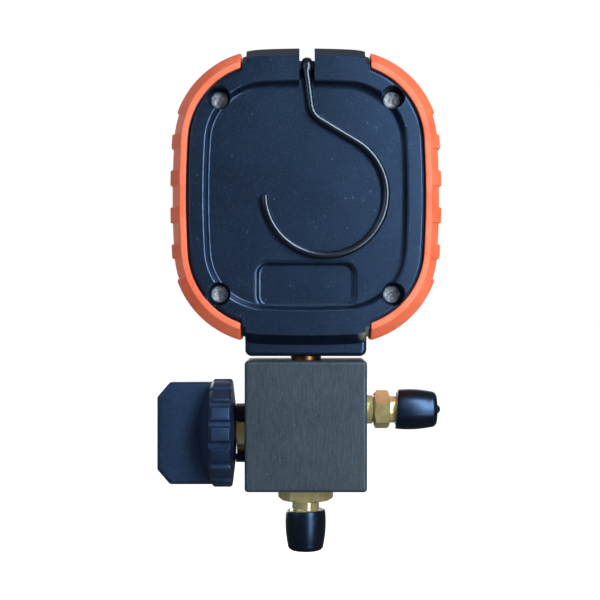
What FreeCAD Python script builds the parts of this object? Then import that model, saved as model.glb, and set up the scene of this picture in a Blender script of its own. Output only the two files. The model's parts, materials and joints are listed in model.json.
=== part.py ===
import FreeCAD, Part
import math
import os

# A single-valve refrigerant manifold gauge. Millimetres, +Z up, dial towards -Y, back cover towards +Y.
# The origin is the centre of the bottom port's nose.
# The port, the gauge's stem and the valve lie in the plane Y = 0.

vec = FreeCAD.Vector

# Heights and planes of the whole gauge
port_reach = 14.0           # from a fitting's hexagon to its nose
bottom_hex_length = 4.5
block_height = 45.2
block_gap = 1.45            # the stretch of stem seen between the block and the case's foot
case_half_height = 44.5
foot_drop = 10.9            # the case's foot below the cover's lower edge
rim_plane = 17.0            # the cover's rim, the rearmost face
block_base = port_reach + bottom_hex_length
block_top = block_base + block_height
case_z = block_top + block_gap + foot_drop + case_half_height

# Case outline, as seen from the back: four bowed sides and four round corners
case_half_width = 40.2
case_corner = 26.0
case_bow = 320.0
recess_rim = 5.0            # width of the rim round the recess
recess_draft = 1.5
recess_depth = 3.0
cover_skin = 2.6
case_out = 2.8              # how far the case's wall stands out beyond the rim, under the bumpers
cover_lip = 1.6
cover_lip_depth = 1.8
wall = 2.0
front_plane = -14.5         # the case's front face
front_wall = 4.1
bumper_lip = 2.1            # thickness of the bumpers' lips, front and back
slip = 0.1                  # clearance where pieces are pushed together
press = 0.02                # clearance where a pin or a stud is pressed in
overlap = 0.5               # how far joined bodies of one piece run into each other

# Orange bumpers
bumper_gap = 1.0            # dark line between the rim and the bumper
bumper_face = 2.1           # width of the flat lip
bumper_out = 6.9            # how far the bumpers stand out from the rim
bumper_slope = 6.8          # depth of the sloped shoulder
bumper_end_x = 22.4
groove_pitch = 12.63
groove_length = 7.3
groove_depth = 0.8
groove_count = 5

# Tabs between the bumpers, and the foot
tab_half_width = 20.5
tab_step_width = 21.9       # a lower step runs on past each end of the tab
tab_step = 1.7              # how much lower the step is
tab_slope = 6.8             # depth of the tab's sloped shoulder
tab_face = 3.5              # the tab's flat face above the rim outline
tab_out = 7.0
tab_front = 1.0             # the tab starts this far behind the front face
foot_half_width = 21.15
foot_half_depth = 10.0
foot_corner = 2.4
foot_round = 1.6
edge_round = 0.5            # rounded edges of the case, the cover and its recess
recess_round = 0.8          # along the foot of the recess's wall

# Label pocket and cover screws
pocket_half_width = 17.6
pocket_low = 5.5            # from the rim's lower edge to the pocket
pocket_height = 16.6
pocket_corner = 4.5
pocket_depth = 1.2
well_inset_x = 10.2         # from the rim's outline to the screws
well_inset_z = 10.7
well_radius = 4.1
well_wall = 1.2
well_depth = 10.7
well_floor = 2.0
screw_radius = 1.5
screw_head_radius = 2.875
screw_head_height = 2.2
screw_length = 10.0
screw_point = 0.6           # bevel at a screw's end, as a share of its radius
screw_tap_spare = 0.5       # a tapped hole runs on past the screw
pan_side = 0.55             # shares of a pan head's height and radius
pan_crown = 0.93
pan_shoulder = 0.72
pan_flat = 0.3
cross_reach = 1.05
cross_width = 0.24
cross_depth = 0.55
screw_pilot = 1.25
boss_radius = 3.9

# Hook
wire_radius = 1.25
hook_x = -0.4
hook_sink = 1.5             # the wire's centre below the rim plane
pin_radius = 1.0
pin_length = 13.0
pin_sink = 0.3              # the pin's axis below the rim's upper edge
eye_play = 0.1
notch_half_width = 2.6
notch_clearance = 0.5
notch_wall = 1.4
shank_drop = 1.4
shank_slant = 7.5
shank_bend = 10.0
elbow_bend = 4.1
bowl_x = -6.9
bowl_height = 0.45
bowl_radius = 20.95
bowl_lead = 31.0            # slope of the straight run into the bowl
eye_half_width = 1.8
eye_crown = 0.9

# Front window
bezel_outer = 39.2
bezel_face = 5.2            # width of the ring, from its outer edge to its opening
bezel_grip = 2.0            # width of the ring on the case
window_ledge = 2.8          # width of the ledge that the gasket lies on
seat_depth = 2.5
gasket_thickness = 0.8
gasket_width = 1.2
lens_thickness = 2.0
bezel_height = 2.5
bezel_skirt = 1.2
skirt_depth = 2.2
bezel_edge = 0.9
dial_margin = 2.2           # the dial reaches this far behind the window's edge
dial_thickness = 0.6
dial_hole = 4.0
dial_screw_x = 13.0
dial_screw_z = 2.0
small_screw_radius = 0.8
small_head_radius = 1.6
small_head_height = 0.9
dial_post_radius = 2.0

# Movement: a toothed sector turns the pinion that carries the pointer
gear_module = 0.4
pinion_teeth = 12
sector_teeth = 84           # teeth of the whole wheel that the sector is cut from
pointer_sweep = 270.0
pressure_angle = 20.0
pinion_addendum = 0.4
sector_addendum = 0.28
root_clearance = 0.12
backlash = 0.09
flank_steps = 4             # straight steps along a tooth's flank
sector_direction = -40.0    # from the pinion to the sector's pivot
tail_slope = -16.9          # the tail's direction at mid-swing
tip_travel = 3.4
link_length = 11.5
link_width = 3.0
link_thickness = 0.6
link_pin_radius = 0.6
link_play = 0.25
arbor_radius = 0.8
pinion_shaft_radius = 1.0
running_play = 0.05
plate_thickness = 1.2
front_plate_y = -6.6        # front face of the front plate
plate_spacing = 5.8
pillar_radius = 1.6
pillar_direction = -100.0
pillar_beyond_pivot = 5.6
pillar_beyond_pinion = 8.5
pillar_beside = 8.0
pillar_below = 16.0
gear_y = -4.0
gear_thickness = 1.6
tube_radius = 26.0
tube_plane = 5.0
tube_width = 6.0
tube_thickness = 1.9
tube_wall = 0.35
tube_start = 264.0
tube_end = -4.0
tip_size = 3.2
tip_cover = 0.5             # the tip block stands out this much round the tube
tip_arm_width = 2.6
tip_arm_thickness = 1.8
hub_of_sector = 2.8
web_spread = 60.0           # how far the web's foot reaches round the hub, beyond the teeth
web_window_near = 0.42      # the window in the web, as shares of the root radius
web_window_far = 0.72
web_window_width = 3.4
shaft_stub = 0.4            # shaft ends past the plate or the pointer
plate_edge = 1.6            # plate left round a pillar
ear_reach = 3.0             # plate left round a dial screw
ear_height = 6.0
leg_rise = 5.0              # the plate's leg starts this far above the head
tail_width = 3.8
spare_teeth = 2
spring_y = -1.2
spring_inner = 2.3
spring_pitch = 0.8
spring_turns = 4
spring_strip = 0.14
spring_height = 0.6
spring_stud = 0.6
pointer_length = 27.0
pointer_tail = 9.0
pointer_thickness = 0.4
pointer_hub = 3.0
pointer_zero = 225.0
pointer_spread = 28.0
tail_spread = 8.0
pointer_over = 0.8          # the hub's reach behind the blade
pointer_y = -12.0

# Socket: stem, flange and head in one piece of brass
stem_radius = 5.5
stem_thread_radius = 4.85
stem_thread_length = 9.4
channel_radius = 1.3
flange_half_width = 11.6
flange_front = 6.5
flange_height = 3.6
socket_screw_x = 8.7
seat_pad = 0.6              # flat seat for the flange, on the bowed floor of the case
head_half_width = 5.6
head_depth = 6.8
head_inside = 6.0           # from the head's top down to the tube's root
tube_slot_turn = 40.0       # the slot for the tube runs out of the head
socket_screw_depth = 6.0
foot_screw_x = 3.8
foot_screw_drop = 2.5
foot_screw_grip = 4.0

# Manifold block
block_half_width = 21.1
block_depth = 29.0
block_back = 15.5
block_round = 1.2
passage_radius = 2.4        # through the fittings
block_passage = 1.9
gauge_passage = 1.5
thread_play = 0.05
side_port_z = 46.0
valve_z = 37.7
chamber_radius = 4.5
chamber_end = -3.0
seat_radius = 2.0
seat_reach = 6.0

# Flare fittings, 1/4 in
flare_radius = 5.555
flare_neck_radius = 4.75
flare_neck = 3.2
flare_nose_radius = 2.95
flare_bevel = 0.35
flare_runout = 0.6
side_hex = 12.0
side_hex_length = 5.45
side_hex_turn = 8.3
side_collar_radius = 5.1
side_collar = 3.0
bottom_hex = 17.0
bottom_hex_turn = 6.0
fitting_thread_radius = 4.85
fitting_thread_length = 7.5
seal_thickness = 0.9
seal_bore = 3.2             # inner radius of the flat seals

# Soft caps
cap_mouth_radius = 6.9
cap_belly_radius = 7.15
cap_end_radius = 6.35       # where the end's rounded edge starts
cap_length = 14.3
cap_clearance = 0.3
cap_floor = 1.5
cap_corner = 2.0
cap_belly_at = 0.35         # where the cap is widest, as a share of its length
cap_inner_cone = 2.6
nub_radius = 1.8
nub_height = 1.3
side_cap_start = 2.5        # from the hexagon to the cap's mouth
bottom_cap_start = 3.6

# Valve
bonnet_hex = 13.0
bonnet_hex_length = 3.1
bonnet_hex_turn = 4.0
hex_round = 1.02            # a hexagon's end bevel starts here, as a share of half its width
hex_bevel = 0.6
bonnet_thread_radius = 5.5
bonnet_thread_length = 10.1
ring_outer = 10.4
ring_width = 2.5
ring_length = 3.4
ring_open_above = 36.6
ring_open_below = 61.5
valve_stem_radius = 3.0
stem_neck_radius = 1.5
stem_button_radius = 2.2
stem_button = 2.0
piston_play = 0.05
piston_length = 8.5
piston_seal_length = 2.4
piston_seal_radius = 3.2
piston_nose = 3.7           # slim stretch of the piston, past the passages
groove_radius = 3.3
groove_behind = 2.0
groove_half_width = 0.8
seal_cone = 0.6
seal_cone_play = 0.5
packing_radius = 0.55
packing_ahead = 2.0         # from the middle of the bonnet's thread to its packing

# Knob
knob_start = 24.9
disc_radius = 19.05
disc_start = 25.9
disc_end = 33.5
hub_radius = 10.5
rim_bevel = 1.3
flute_count = 16
flute_depth = 1.2
flute_floor = 1.2
flute_mouth = 3.2
flute_phase = 3.4
dome_radius = 17.3
dome_height = 4.7
blade_end = 52.4
blade_half_height = 18.05
blade_half_thickness = 3.5
blade_corner_axial = 4.5
blade_corner_radial = 5.2
blade_round = 1.6
knob_bore_depth = 12.0


def box(x0, x1, y0, y1, z0, z1):
    return Part.makeBox(x1 - x0, y1 - y0, z1 - z0, vec(x0, y0, z0))


def rod(radius, start, end):
    # A cylinder between two points
    a = vec(*start)
    b = vec(*end)
    return Part.makeCylinder(radius, (b - a).Length, a, b - a)


def pipe(outer, inner, start, end):
    return rod(outer, start, end).cut(rod(inner, start, end))


def turned(profile, start, direction):
    # Turns a profile of (radius, height) points about the axis that leaves start in the given direction
    points = [vec(r, 0, h) for r, h in profile]
    face = Part.Face(Part.makePolygon(points + [points[0]]))
    solid = face.revolve(vec(0, 0, 0), vec(0, 0, 1), 360)
    solid.Placement = FreeCAD.Placement(vec(*start), FreeCAD.Rotation(vec(0, 0, 1), vec(*direction)))
    return solid


def hexagon(across_flats, start, direction, length, turn, side):
    # A hexagon bar with bevelled corners; a flat faces the given side before the turn
    corner = across_flats / math.sqrt(3)
    axis = vec(*direction)
    points = []
    for k in range(7):
        spin = FreeCAD.Rotation(axis, 30 + 60 * k + turn)
        points.append(vec(*start) + spin.multVec(vec(*side)) * corner)
    bar = Part.Face(Part.makePolygon(points)).extrude(axis * length)
    flat = across_flats / 2 * hex_round
    bevel = (corner - flat) * hex_bevel
    profile = [(0, 0), (flat, 0), (corner, bevel), (corner, length - bevel), (flat, length), (0, length)]
    return bar.common(turned(profile, start, direction))


def polar(radius, degrees, centre=(0.0, 0.0)):
    angle = math.radians(degrees)
    return centre[0] + radius * math.cos(angle), centre[1] + radius * math.sin(angle)


def plate(points, y0, y1):
    # A flat plate between two planes across Y, from its (x, z) corners
    corners = [vec(x, y0, z) for x, z in points]
    face = Part.Face(Part.makePolygon(corners + [corners[0]]))
    return face.extrude(vec(0, y1 - y0, 0))


def corner_centre():
    # Centre of the upper right corner arc, which runs smoothly into the bowed side and the bowed end
    side_x = case_half_width - case_bow
    end_z = case_half_height - case_bow
    reach = case_bow - case_corner
    apart = math.hypot(side_x, end_z)
    rise = math.sqrt(reach ** 2 - (apart / 2) ** 2)
    ux = -side_x / apart
    uz = end_z / apart
    return side_x / 2 - uz * rise, end_z / 2 + ux * rise


def outline(offset, y):
    # The case's outline, grown evenly by the offset, as eight arcs
    cx, cz = corner_centre()
    side_x = case_half_width - case_bow
    end_z = case_half_height - case_bow
    side_tilt = math.degrees(math.atan2(cz, cx - side_x))
    end_tilt = math.degrees(math.atan2(cz - end_z, cx))
    bow = case_bow + offset
    corner = case_corner + offset
    side_point = polar(bow, side_tilt, (side_x, 0))
    end_point = polar(bow, end_tilt, (0, end_z))
    middle = polar(corner, (side_tilt + end_tilt) / 2, (cx, cz))
    side = (case_half_width + offset, 0)
    end = (0, case_half_height + offset)

    def at(point, sx, sz):
        return vec(point[0] * sx, y, case_z + point[1] * sz)

    edges = []
    for sx, sz in [(1, 1), (-1, 1), (-1, -1), (1, -1)]:
        corner_arc = [at(side_point, sx, sz), at(middle, sx, sz), at(end_point, sx, sz)]
        edges.append(Part.Arc(*corner_arc).toShape())
    edges.append(Part.Arc(at(end_point, -1, 1), at(end, 1, 1), at(end_point, 1, 1)).toShape())
    edges.append(Part.Arc(at(end_point, -1, -1), at(end, 1, -1), at(end_point, 1, -1)).toShape())
    edges.append(Part.Arc(at(side_point, 1, -1), at(side, 1, 1), at(side_point, 1, 1)).toShape())
    edges.append(Part.Arc(at(side_point, -1, -1), at(side, -1, 1), at(side_point, -1, 1)).toShape())
    return Part.Wire(Part.__sortEdges__(edges))


def prism(offset, y0, y1):
    return Part.Face(outline(offset, y0)).extrude(vec(0, y1 - y0, 0))


def taper(offset0, y0, offset1, y1):
    return Part.makeLoft([outline(offset0, y0), outline(offset1, y1)], True, True)


def rounded_box(half_width, z0, z1, radius, y0, y1):
    # A box across the back of the case whose four corners are round, as seen from the back
    block = box(-half_width, half_width, y0, y1, case_z + z0, case_z + z1)
    upright = [e for e in block.Edges if abs(e.tangentAt(e.FirstParameter).y) > 0.99]
    return block.makeFillet(radius, upright)


def corners():
    return [(sx * well_x, case_z + sz * well_z) for sx in (-1, 1) for sz in (-1, 1)]


recess_plane = rim_plane - recess_depth
seam_plane = recess_plane - cover_skin
back_rabbet = rim_plane - bumper_lip
front_rabbet = front_plane + bumper_lip
inner_front = front_plane + front_wall
inner_offset = case_out - wall
well_bottom = rim_plane - well_depth
well_base = well_bottom - well_floor
well_x = case_half_width - well_inset_x
well_z = case_half_height - well_inset_z
pocket_bottom = pocket_low - case_half_height
pocket_top = pocket_bottom + pocket_height
pin_z = case_z + case_half_height - pin_sink
wire_y = rim_plane - hook_sink
eye_radius = pin_radius + eye_play + wire_radius
eye_outer = eye_radius + wire_radius
pin_y = wire_y - eye_radius
notch_floor = pin_y - eye_outer - notch_clearance
notch_low = pin_z - eye_outer - notch_clearance
case_top = case_z + case_half_height
case_bottom = case_z - case_half_height
case_floor = case_bottom - inner_offset
socket_seat = case_floor + seat_pad
bezel_opening = bezel_outer - bezel_face
window_seat = bezel_outer - bezel_grip
window_radius = window_seat - window_ledge
dial_radius = window_radius + dial_margin
lens_radius = window_seat - bezel_skirt - 2 * slip
lens_back = front_plane + seat_depth - gasket_thickness
lens_front = lens_back - lens_thickness
dial_back = inner_front + dial_thickness
front_plate_back = front_plate_y + plate_thickness
rear_plate_y = front_plate_back + plate_spacing
rear_plate_back = rear_plate_y + plate_thickness
gear_back = gear_y + gear_thickness
link_y = gear_back + slip
link_back = link_y + link_thickness
lug_y = link_back + slip
head_top = head_inside - tube_radius
centre = (0, case_z)


def at_y(point, y0, y1):
    # The two ends of a line along Y through an (x, z) point
    return (point[0], y0, point[1]), (point[0], y1, point[1])


def post(radius, point, y0, y1):
    return rod(radius, *at_y(point, y0, y1))


def skin(face, out, slope, front, back):
    # A form that stands out from the rim's outline, with sloped shoulders down to its front and back faces
    low = taper(face, front, out, front + slope)
    high = taper(out, back - slope, face, back)
    return prism(out, front + slope, back - slope).fuse([low, high])


def tabs_between(y0, y1):
    # The raised tabs between the bumpers, above and below, and the lower step at their ends
    front = front_plane + tab_front
    high = skin(tab_face, tab_out, tab_slope, front, rim_plane)
    low = skin(tab_face - tab_step, tab_out - tab_step, tab_slope, front, rim_plane)
    far = 2 * case_half_height
    inner = case_half_height - wall
    tabs = []
    for z0, z1 in ((case_z - far, case_z - inner), (case_z + inner, case_z + far)):
        tabs.append(high.common(box(-tab_half_width, tab_half_width, y0, y1, z0, z1)))
        tabs.append(low.common(box(-tab_step_width, tab_step_width, y0, y1, z0, z1)))
    return tabs


def notch():
    # The slot for the hook: deep round its eye, shallow down to the recess, right through the tab above
    x0 = hook_x - notch_half_width
    x1 = hook_x + notch_half_width
    back = rim_plane + 1
    high = case_top + tab_out + 1
    through = case_top + case_out + slip
    deep = box(x0, x1, notch_floor, back, notch_low, high)
    shallow = box(x0, x1, recess_plane, back, case_top - recess_rim - 2 * recess_draft, high)
    return deep.fuse([shallow, box(x0, x1, front_plane - 1, back, through, high)])


def low_edges(shape, low):
    return [edge for edge in shape.Edges if edge.BoundBox.ZMax < low + slip]


def foot():
    low = case_bottom - foot_drop
    block = box(-foot_half_width, foot_half_width, -foot_half_depth, foot_half_depth, low, case_bottom)
    ends = [edge for edge in low_edges(block, low) if edge.BoundBox.YLength > foot_half_depth]
    block = block.makeFillet(foot_corner, ends)
    under = [edge for edge in block.Edges if edge.BoundBox.ZMax < case_bottom - slip and
             abs(edge.BoundBox.YMax - edge.BoundBox.YMin) < slip]
    return block.makeFillet(foot_round, under)


def screw_bosses():
    sink = wall / 4
    inside = prism(inner_offset + sink, inner_front - sink, seam_plane)
    return [post(boss_radius, place, inner_front - sink, well_base).common(inside) for place in corners()]


def socket_pad():
    # The flat seat for the socket's flange, on the bowed floor of the case
    side = flange_half_width + seat_pad
    back = seam_plane - cover_lip_depth - slip
    return box(-side, side, -flange_front - seat_pad, back, case_floor - wall / 2, socket_seat)


def case_body():
    front = prism(0.0, front_plane, front_rabbet + 2 * slip)
    front = front.makeFillet(edge_round, level_edges(front, front_plane))
    shell = prism(case_out, front_rabbet + slip, seam_plane)
    shell = shell.fuse([front, foot()] + tabs_between(front_plane, seam_plane))
    shell = shell.cut(prism(inner_offset, inner_front, seam_plane + 1))
    shell = shell.fuse(screw_bosses() + [socket_pad()])
    taken = [notch(),
             post(window_radius, centre, front_plane - 1, inner_front + 1),
             post(window_seat, centre, front_plane - 1, front_plane + seat_depth),
             rod(stem_radius + 2 * slip, (0, 0, block_top), (0, 0, socket_seat + 1))]
    for place in corners():
        taken.append(post(screw_pilot, place, well_bottom - screw_length - screw_tap_spare, seam_plane))
    for x in (-socket_screw_x, socket_screw_x):
        low = socket_seat - socket_screw_depth - screw_tap_spare
        taken.append(rod(screw_pilot, (x, 0, low), (x, 0, socket_seat + 1)))
    return shell.cut(taken).removeSplitter()


def inner_lip():
    # The thin lip that enters the case
    outer = inner_offset - 2 * slip
    lip = prism(outer, seam_plane - cover_lip_depth, seam_plane + overlap)
    return lip.cut(prism(outer - cover_lip, seam_plane - cover_lip_depth - 1, seam_plane + 1))


def notch_house():
    # The walls behind the cover that close the notch and hold the hook's pin
    side = notch_half_width + notch_wall
    house = box(hook_x - side, hook_x + side, notch_floor - notch_wall, seam_plane + overlap,
                notch_low - notch_wall, case_top)
    return house.common(prism(inner_offset - 2 * slip, notch_floor - notch_wall - 1, seam_plane + 1))


def level_edges(shape, y):
    # The edges that lie in the plane y
    found = []
    for edge in shape.Edges:
        bounds = edge.BoundBox
        if abs(bounds.YMin - y) < press and abs(bounds.YMax - y) < press:
            found.append(edge)
    return found


def dished_plate():
    # The cover's plate: rounded rim, tabs, and a recess whose wall is rounded at its mouth and its foot
    plain = prism(0.0, seam_plane, rim_plane)
    plain = plain.makeFillet(edge_round, level_edges(plain, rim_plane))
    recess = taper(-recess_rim - recess_draft, recess_plane, -recess_rim, rim_plane)
    recess = recess.makeFillet(recess_round, level_edges(recess, recess_plane))
    skirt = prism(case_out - slip, seam_plane, back_rabbet - slip)
    dished = plain.fuse([skirt] + tabs_between(seam_plane, rim_plane)).cut(recess).removeSplitter()
    inner = case_half_height - recess_rim + slip
    mouth = []
    for edge in level_edges(dished, rim_plane):
        bounds = edge.BoundBox
        if max(bounds.ZMax - case_z, case_z - bounds.ZMin) < inner:
            mouth.append(edge)
    return dished.makeFillet(edge_round, mouth)


def label_pocket(dished):
    # Cuts the label pocket into the recess's floor and rounds its edges
    pocket = rounded_box(pocket_half_width, pocket_bottom, pocket_top, pocket_corner,
                         recess_plane - pocket_depth, recess_plane + 1)
    pocket = pocket.makeFillet(edge_round, level_edges(pocket, recess_plane - pocket_depth))
    cut = dished.cut(pocket)
    mouth = []
    for edge in level_edges(cut, recess_plane):
        bounds = edge.BoundBox
        if bounds.ZMin > case_z + pocket_bottom - slip and bounds.ZMax < case_z + pocket_top + slip:
            mouth.append(edge)
    return cut.makeFillet(edge_round / 2, mouth)


def back_cover():
    cover = label_pocket(dished_plate())
    lip_space = prism(inner_offset - 2 * slip, well_base, seam_plane + 1)
    added = [inner_lip(), notch_house()]
    for place in corners():
        added.append(post(well_radius + well_wall, place, well_base, seam_plane + overlap).common(lip_space))
    cover = cover.fuse(added)
    taken = [notch(), pin_hole()]
    for place in corners():
        taken.append(post(well_radius, place, well_bottom, rim_plane + 1))
        taken.append(post(screw_radius + 2 * slip, place, well_base - 1, well_bottom + 1))
    return cover.cut(taken).removeSplitter()


def bumper_skin(sink):
    # The bumpers' outer form; sink lowers its side and leaves the lips' edges where they are
    flat = bumper_gap + bumper_face
    out = bumper_out - sink
    back = taper(out, rim_plane - bumper_slope, flat, rim_plane)
    front = taper(flat, front_plane, out, front_plane + bumper_slope)
    return prism(out, front_plane + bumper_slope, rim_plane - bumper_slope).fuse([back, front])


def bumpers():
    front = front_plane - 1
    back = rim_plane + 1
    far = 2 * case_half_width
    ring = bumper_skin(0.0)
    ring = ring.cut([prism(bumper_gap, front, back), prism(case_out + slip, front_rabbet, back_rabbet)])
    sunk = bumper_skin(groove_depth)
    middle = (groove_count - 1) / 2
    halves = []
    for x0, x1 in ((-far, -bumper_end_x), (bumper_end_x, far)):
        half = ring.common(box(x0, x1, front, back, case_z - far, case_z + far))
        slots = []
        for k in range(groove_count):
            z = case_z + (k - middle) * groove_pitch
            slot = box(x0, x1, front, back, z - groove_length / 2, z + groove_length / 2)
            slots.append(slot.cut(sunk))
        halves.append(half.cut(slots).removeSplitter())
    return halves


def pan_screw(radius, head_radius, head_height, length, seat, direction):
    # A pan-head screw with a cross recess; its head sits on the seat and its shank goes the other way
    point = radius * screw_point
    profile = [(0, -length), (radius - point, -length), (radius, point - length), (radius, 0),
               (head_radius, 0), (head_radius, head_height * pan_side),
               (head_radius * pan_shoulder, head_height * pan_crown), (head_radius * pan_flat, head_height),
               (0, head_height)]
    screw = turned(profile, seat, direction)
    top = vec(*seat) + vec(*direction) * head_height
    spin = FreeCAD.Rotation(vec(0, 0, 1), vec(*direction))
    long = head_radius * cross_reach / 2
    short = head_radius * cross_width / 2
    for x, y in ((long, short), (short, long)):
        slot = box(-x, x, -y, y, -head_height * cross_depth, head_height)
        slot.Placement = FreeCAD.Placement(top, spin)
        screw = screw.cut(slot)
    return screw


def cover_screws():
    screws = []
    for x, z in corners():
        screws.append(pan_screw(screw_pilot - press, screw_head_radius, screw_head_height, screw_length,
                                (x, well_bottom, z), (0, 1, 0)))
    return Part.makeCompound(screws)


def crossing(a, along_a, b, along_b):
    # How far along the first line the second one crosses it
    cross = along_a[0] * along_b[1] - along_a[1] * along_b[0]
    return ((b[0] - a[0]) * along_b[1] - (b[1] - a[1]) * along_b[0]) / cross


def beyond(point, direction, distance):
    return point[0] + direction[0] * distance, point[1] + direction[1] * distance


def hook_path():
    # Shank, slanted run, elbow, straight run and bowl, as joined arcs and lines in (x, z)
    drop = (hook_x, pin_z - shank_drop)
    shank_centre = (hook_x - shank_bend, drop[1])
    slant_middle = polar(shank_bend, -shank_slant / 2, shank_centre)
    slant_end = polar(shank_bend, -shank_slant, shank_centre)
    down = polar(1, 270 - shank_slant)
    along = polar(1, 180 + bowl_lead)
    bowl = (bowl_x, case_z + bowl_height)
    touch = polar(bowl_radius, 90 + bowl_lead, bowl)
    halfway = polar(bowl_radius, (90 + bowl_lead + 360) / 2, bowl)
    tip = polar(bowl_radius, 360, bowl)
    elbow = beyond(slant_end, down, crossing(slant_end, down, touch, along))
    half_turn = math.acos(down[0] * along[0] + down[1] * along[1]) / 2
    back = elbow_bend * math.tan(half_turn)
    first = beyond(elbow, down, -back)
    last = beyond(elbow, along, back)
    inward = (along[0] - down[0], along[1] - down[1])
    pull = elbow_bend * (1 / math.cos(half_turn) - 1) / math.hypot(*inward)
    bend = beyond(elbow, inward, pull)

    def at(point):
        return vec(point[0], wire_y, point[1])

    edges = [Part.makeLine(vec(hook_x, wire_y, pin_z), at(drop)),
             Part.Arc(at(drop), at(slant_middle), at(slant_end)).toShape(),
             Part.makeLine(at(slant_end), at(first)),
             Part.Arc(at(first), at(bend), at(last)).toShape(),
             Part.makeLine(at(last), at(touch)),
             Part.Arc(at(touch), at(halfway), at(tip)).toShape()]
    return Part.Wire(edges)


def cross_rod(radius, half):
    # A rod across the notch, on the axis that the hook turns on
    return rod(radius, (hook_x - half, pin_y, pin_z), (hook_x + half, pin_y, pin_z))


def hook():
    # The wire, swept from its tip, and the pressed eye at its upper end
    tip = vec(bowl_x + bowl_radius, wire_y, case_z + bowl_height)
    section = Part.Wire(Part.makeCircle(wire_radius, tip, vec(0, 0, 1)))
    wire = hook_path().makePipeShell([section], True, False)
    inner = pin_radius + eye_play
    shoulder = eye_outer - eye_crown
    crown = eye_half_width / 3
    profile = [(inner, -eye_half_width), (shoulder, -eye_half_width), (eye_outer, -crown),
               (eye_outer, crown), (shoulder, eye_half_width), (inner, eye_half_width)]
    eye = turned(profile, (hook_x, pin_y, pin_z), (1, 0, 0))
    return wire.fuse(eye).cut(cross_rod(inner, notch_half_width))


def pin_hole():
    return cross_rod(pin_radius + press, pin_length / 2)


def hook_pin():
    return cross_rod(pin_radius, pin_length / 2 - press)


def bezel_ring():
    # A snap ring: its skirt grips the window's seat, its lip holds the lens, its flange lies on the case
    face = front_plane - bezel_height
    seat = window_seat - slip
    skirt = front_plane + skirt_depth
    grip = seat - bezel_skirt
    profile = [(bezel_opening, lens_front), (grip, lens_front), (grip, skirt), (seat, skirt),
               (seat, front_plane), (bezel_outer, front_plane), (bezel_outer, face + bezel_edge),
               (bezel_outer - bezel_edge, face), (bezel_opening + 2 * bezel_edge, face),
               (bezel_opening, lens_front - bezel_edge)]
    return turned([(r, -y) for r, y in profile], (0, 0, case_z), (0, -1, 0))


def lens_gasket():
    ends = at_y(centre, lens_back, lens_back + gasket_thickness)
    return pipe(lens_radius, lens_radius - gasket_width, *ends)


def lens():
    return post(lens_radius, centre, lens_back, lens_front)


def dial_screw_places():
    return [(x, case_z + dial_screw_z) for x in (-dial_screw_x, dial_screw_x)]


def dial_plate():
    holes = [post(dial_hole, centre, inner_front - 1, dial_back + 1)]
    for place in dial_screw_places():
        holes.append(post(small_screw_radius + slip, place, inner_front - 1, dial_back + 1))
    return post(dial_radius, centre, inner_front, dial_back).cut(holes)


def small_screw(place, y, length):
    # A small screw driven in along +Y, with its head on the plane y
    return pan_screw(small_screw_radius - press, small_head_radius, small_head_height, length,
                     (place[0], y, place[1]), (0, -1, 0))


def dial_screws():
    length = front_plate_back - inner_front
    return Part.makeCompound([small_screw(place, inner_front, length) for place in dial_screw_places()])


pinion_pitch = gear_module * pinion_teeth / 2
sector_pitch = gear_module * sector_teeth / 2
sector_swing = pointer_sweep * pinion_teeth / sector_teeth
sector_pivot = polar(pinion_pitch + sector_pitch, sector_direction, centre)
mesh_direction = sector_direction + 180
tail_rest = tail_slope - sector_swing / 2
tail_length = tip_travel / 2 / math.sin(math.radians(sector_swing / 2))
tail_end = polar(tail_length, tail_rest, sector_pivot)
link_top = polar(link_length, tail_slope + 90, tail_end)
# The tail's end runs on an arc and the tube's tip on a line, so the tip's pin stands half the rise aside
tip_aside = tail_length * (1 - math.cos(math.radians(sector_swing / 2))) / 2
tip_pin = polar(tip_aside, tail_slope, link_top)
pillar_places = [polar(pillar_beyond_pivot, pillar_direction, sector_pivot),
                 polar(pillar_beyond_pinion, mesh_direction, centre),
                 (-pillar_beside, case_z - pillar_below)]
foot_screw_z = case_z + head_top - foot_screw_drop


def tooth_half_angle(teeth, radius):
    # Half the angle that an involute tooth covers at a radius; below the base circle its flank is radial
    pitch = gear_module * teeth / 2
    base = pitch * math.cos(math.radians(pressure_angle))
    at_pitch = (math.pi * gear_module - backlash) / 4 / pitch
    lean = math.acos(min(1, base / max(radius, base)))
    steep = math.radians(pressure_angle)
    return math.degrees(at_pitch + math.tan(steep) - steep - math.tan(lean) + lean)


def tooth_points(teeth, root, tip, middle, hub):
    flank = [root + (tip - root) * k / flank_steps for k in range(flank_steps + 1)]
    rising = [polar(r, middle - tooth_half_angle(teeth, r), hub) for r in flank]
    falling = [polar(r, middle + tooth_half_angle(teeth, r), hub) for r in reversed(flank)]
    return rising + falling


def pinion_shaft():
    root = pinion_pitch - sector_addendum - root_clearance
    points = []
    for k in range(pinion_teeth):
        middle = sector_direction + 360 * k / pinion_teeth
        points += tooth_points(pinion_teeth, root, pinion_pitch + pinion_addendum, middle, centre)
    teeth = plate(points, gear_y - overlap, gear_back + overlap)
    shaft = post(pinion_shaft_radius, centre, pointer_y - shaft_stub, rear_plate_y - slip)
    arbor = post(arbor_radius, centre, rear_plate_y - 1, rear_plate_back + shaft_stub)
    collet_radius = spring_inner - spring_strip / 2 - press
    collet = post(collet_radius, centre, spring_y - slip, spring_y + spring_height + slip)
    return teeth.fuse([shaft, arbor, collet])


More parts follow.
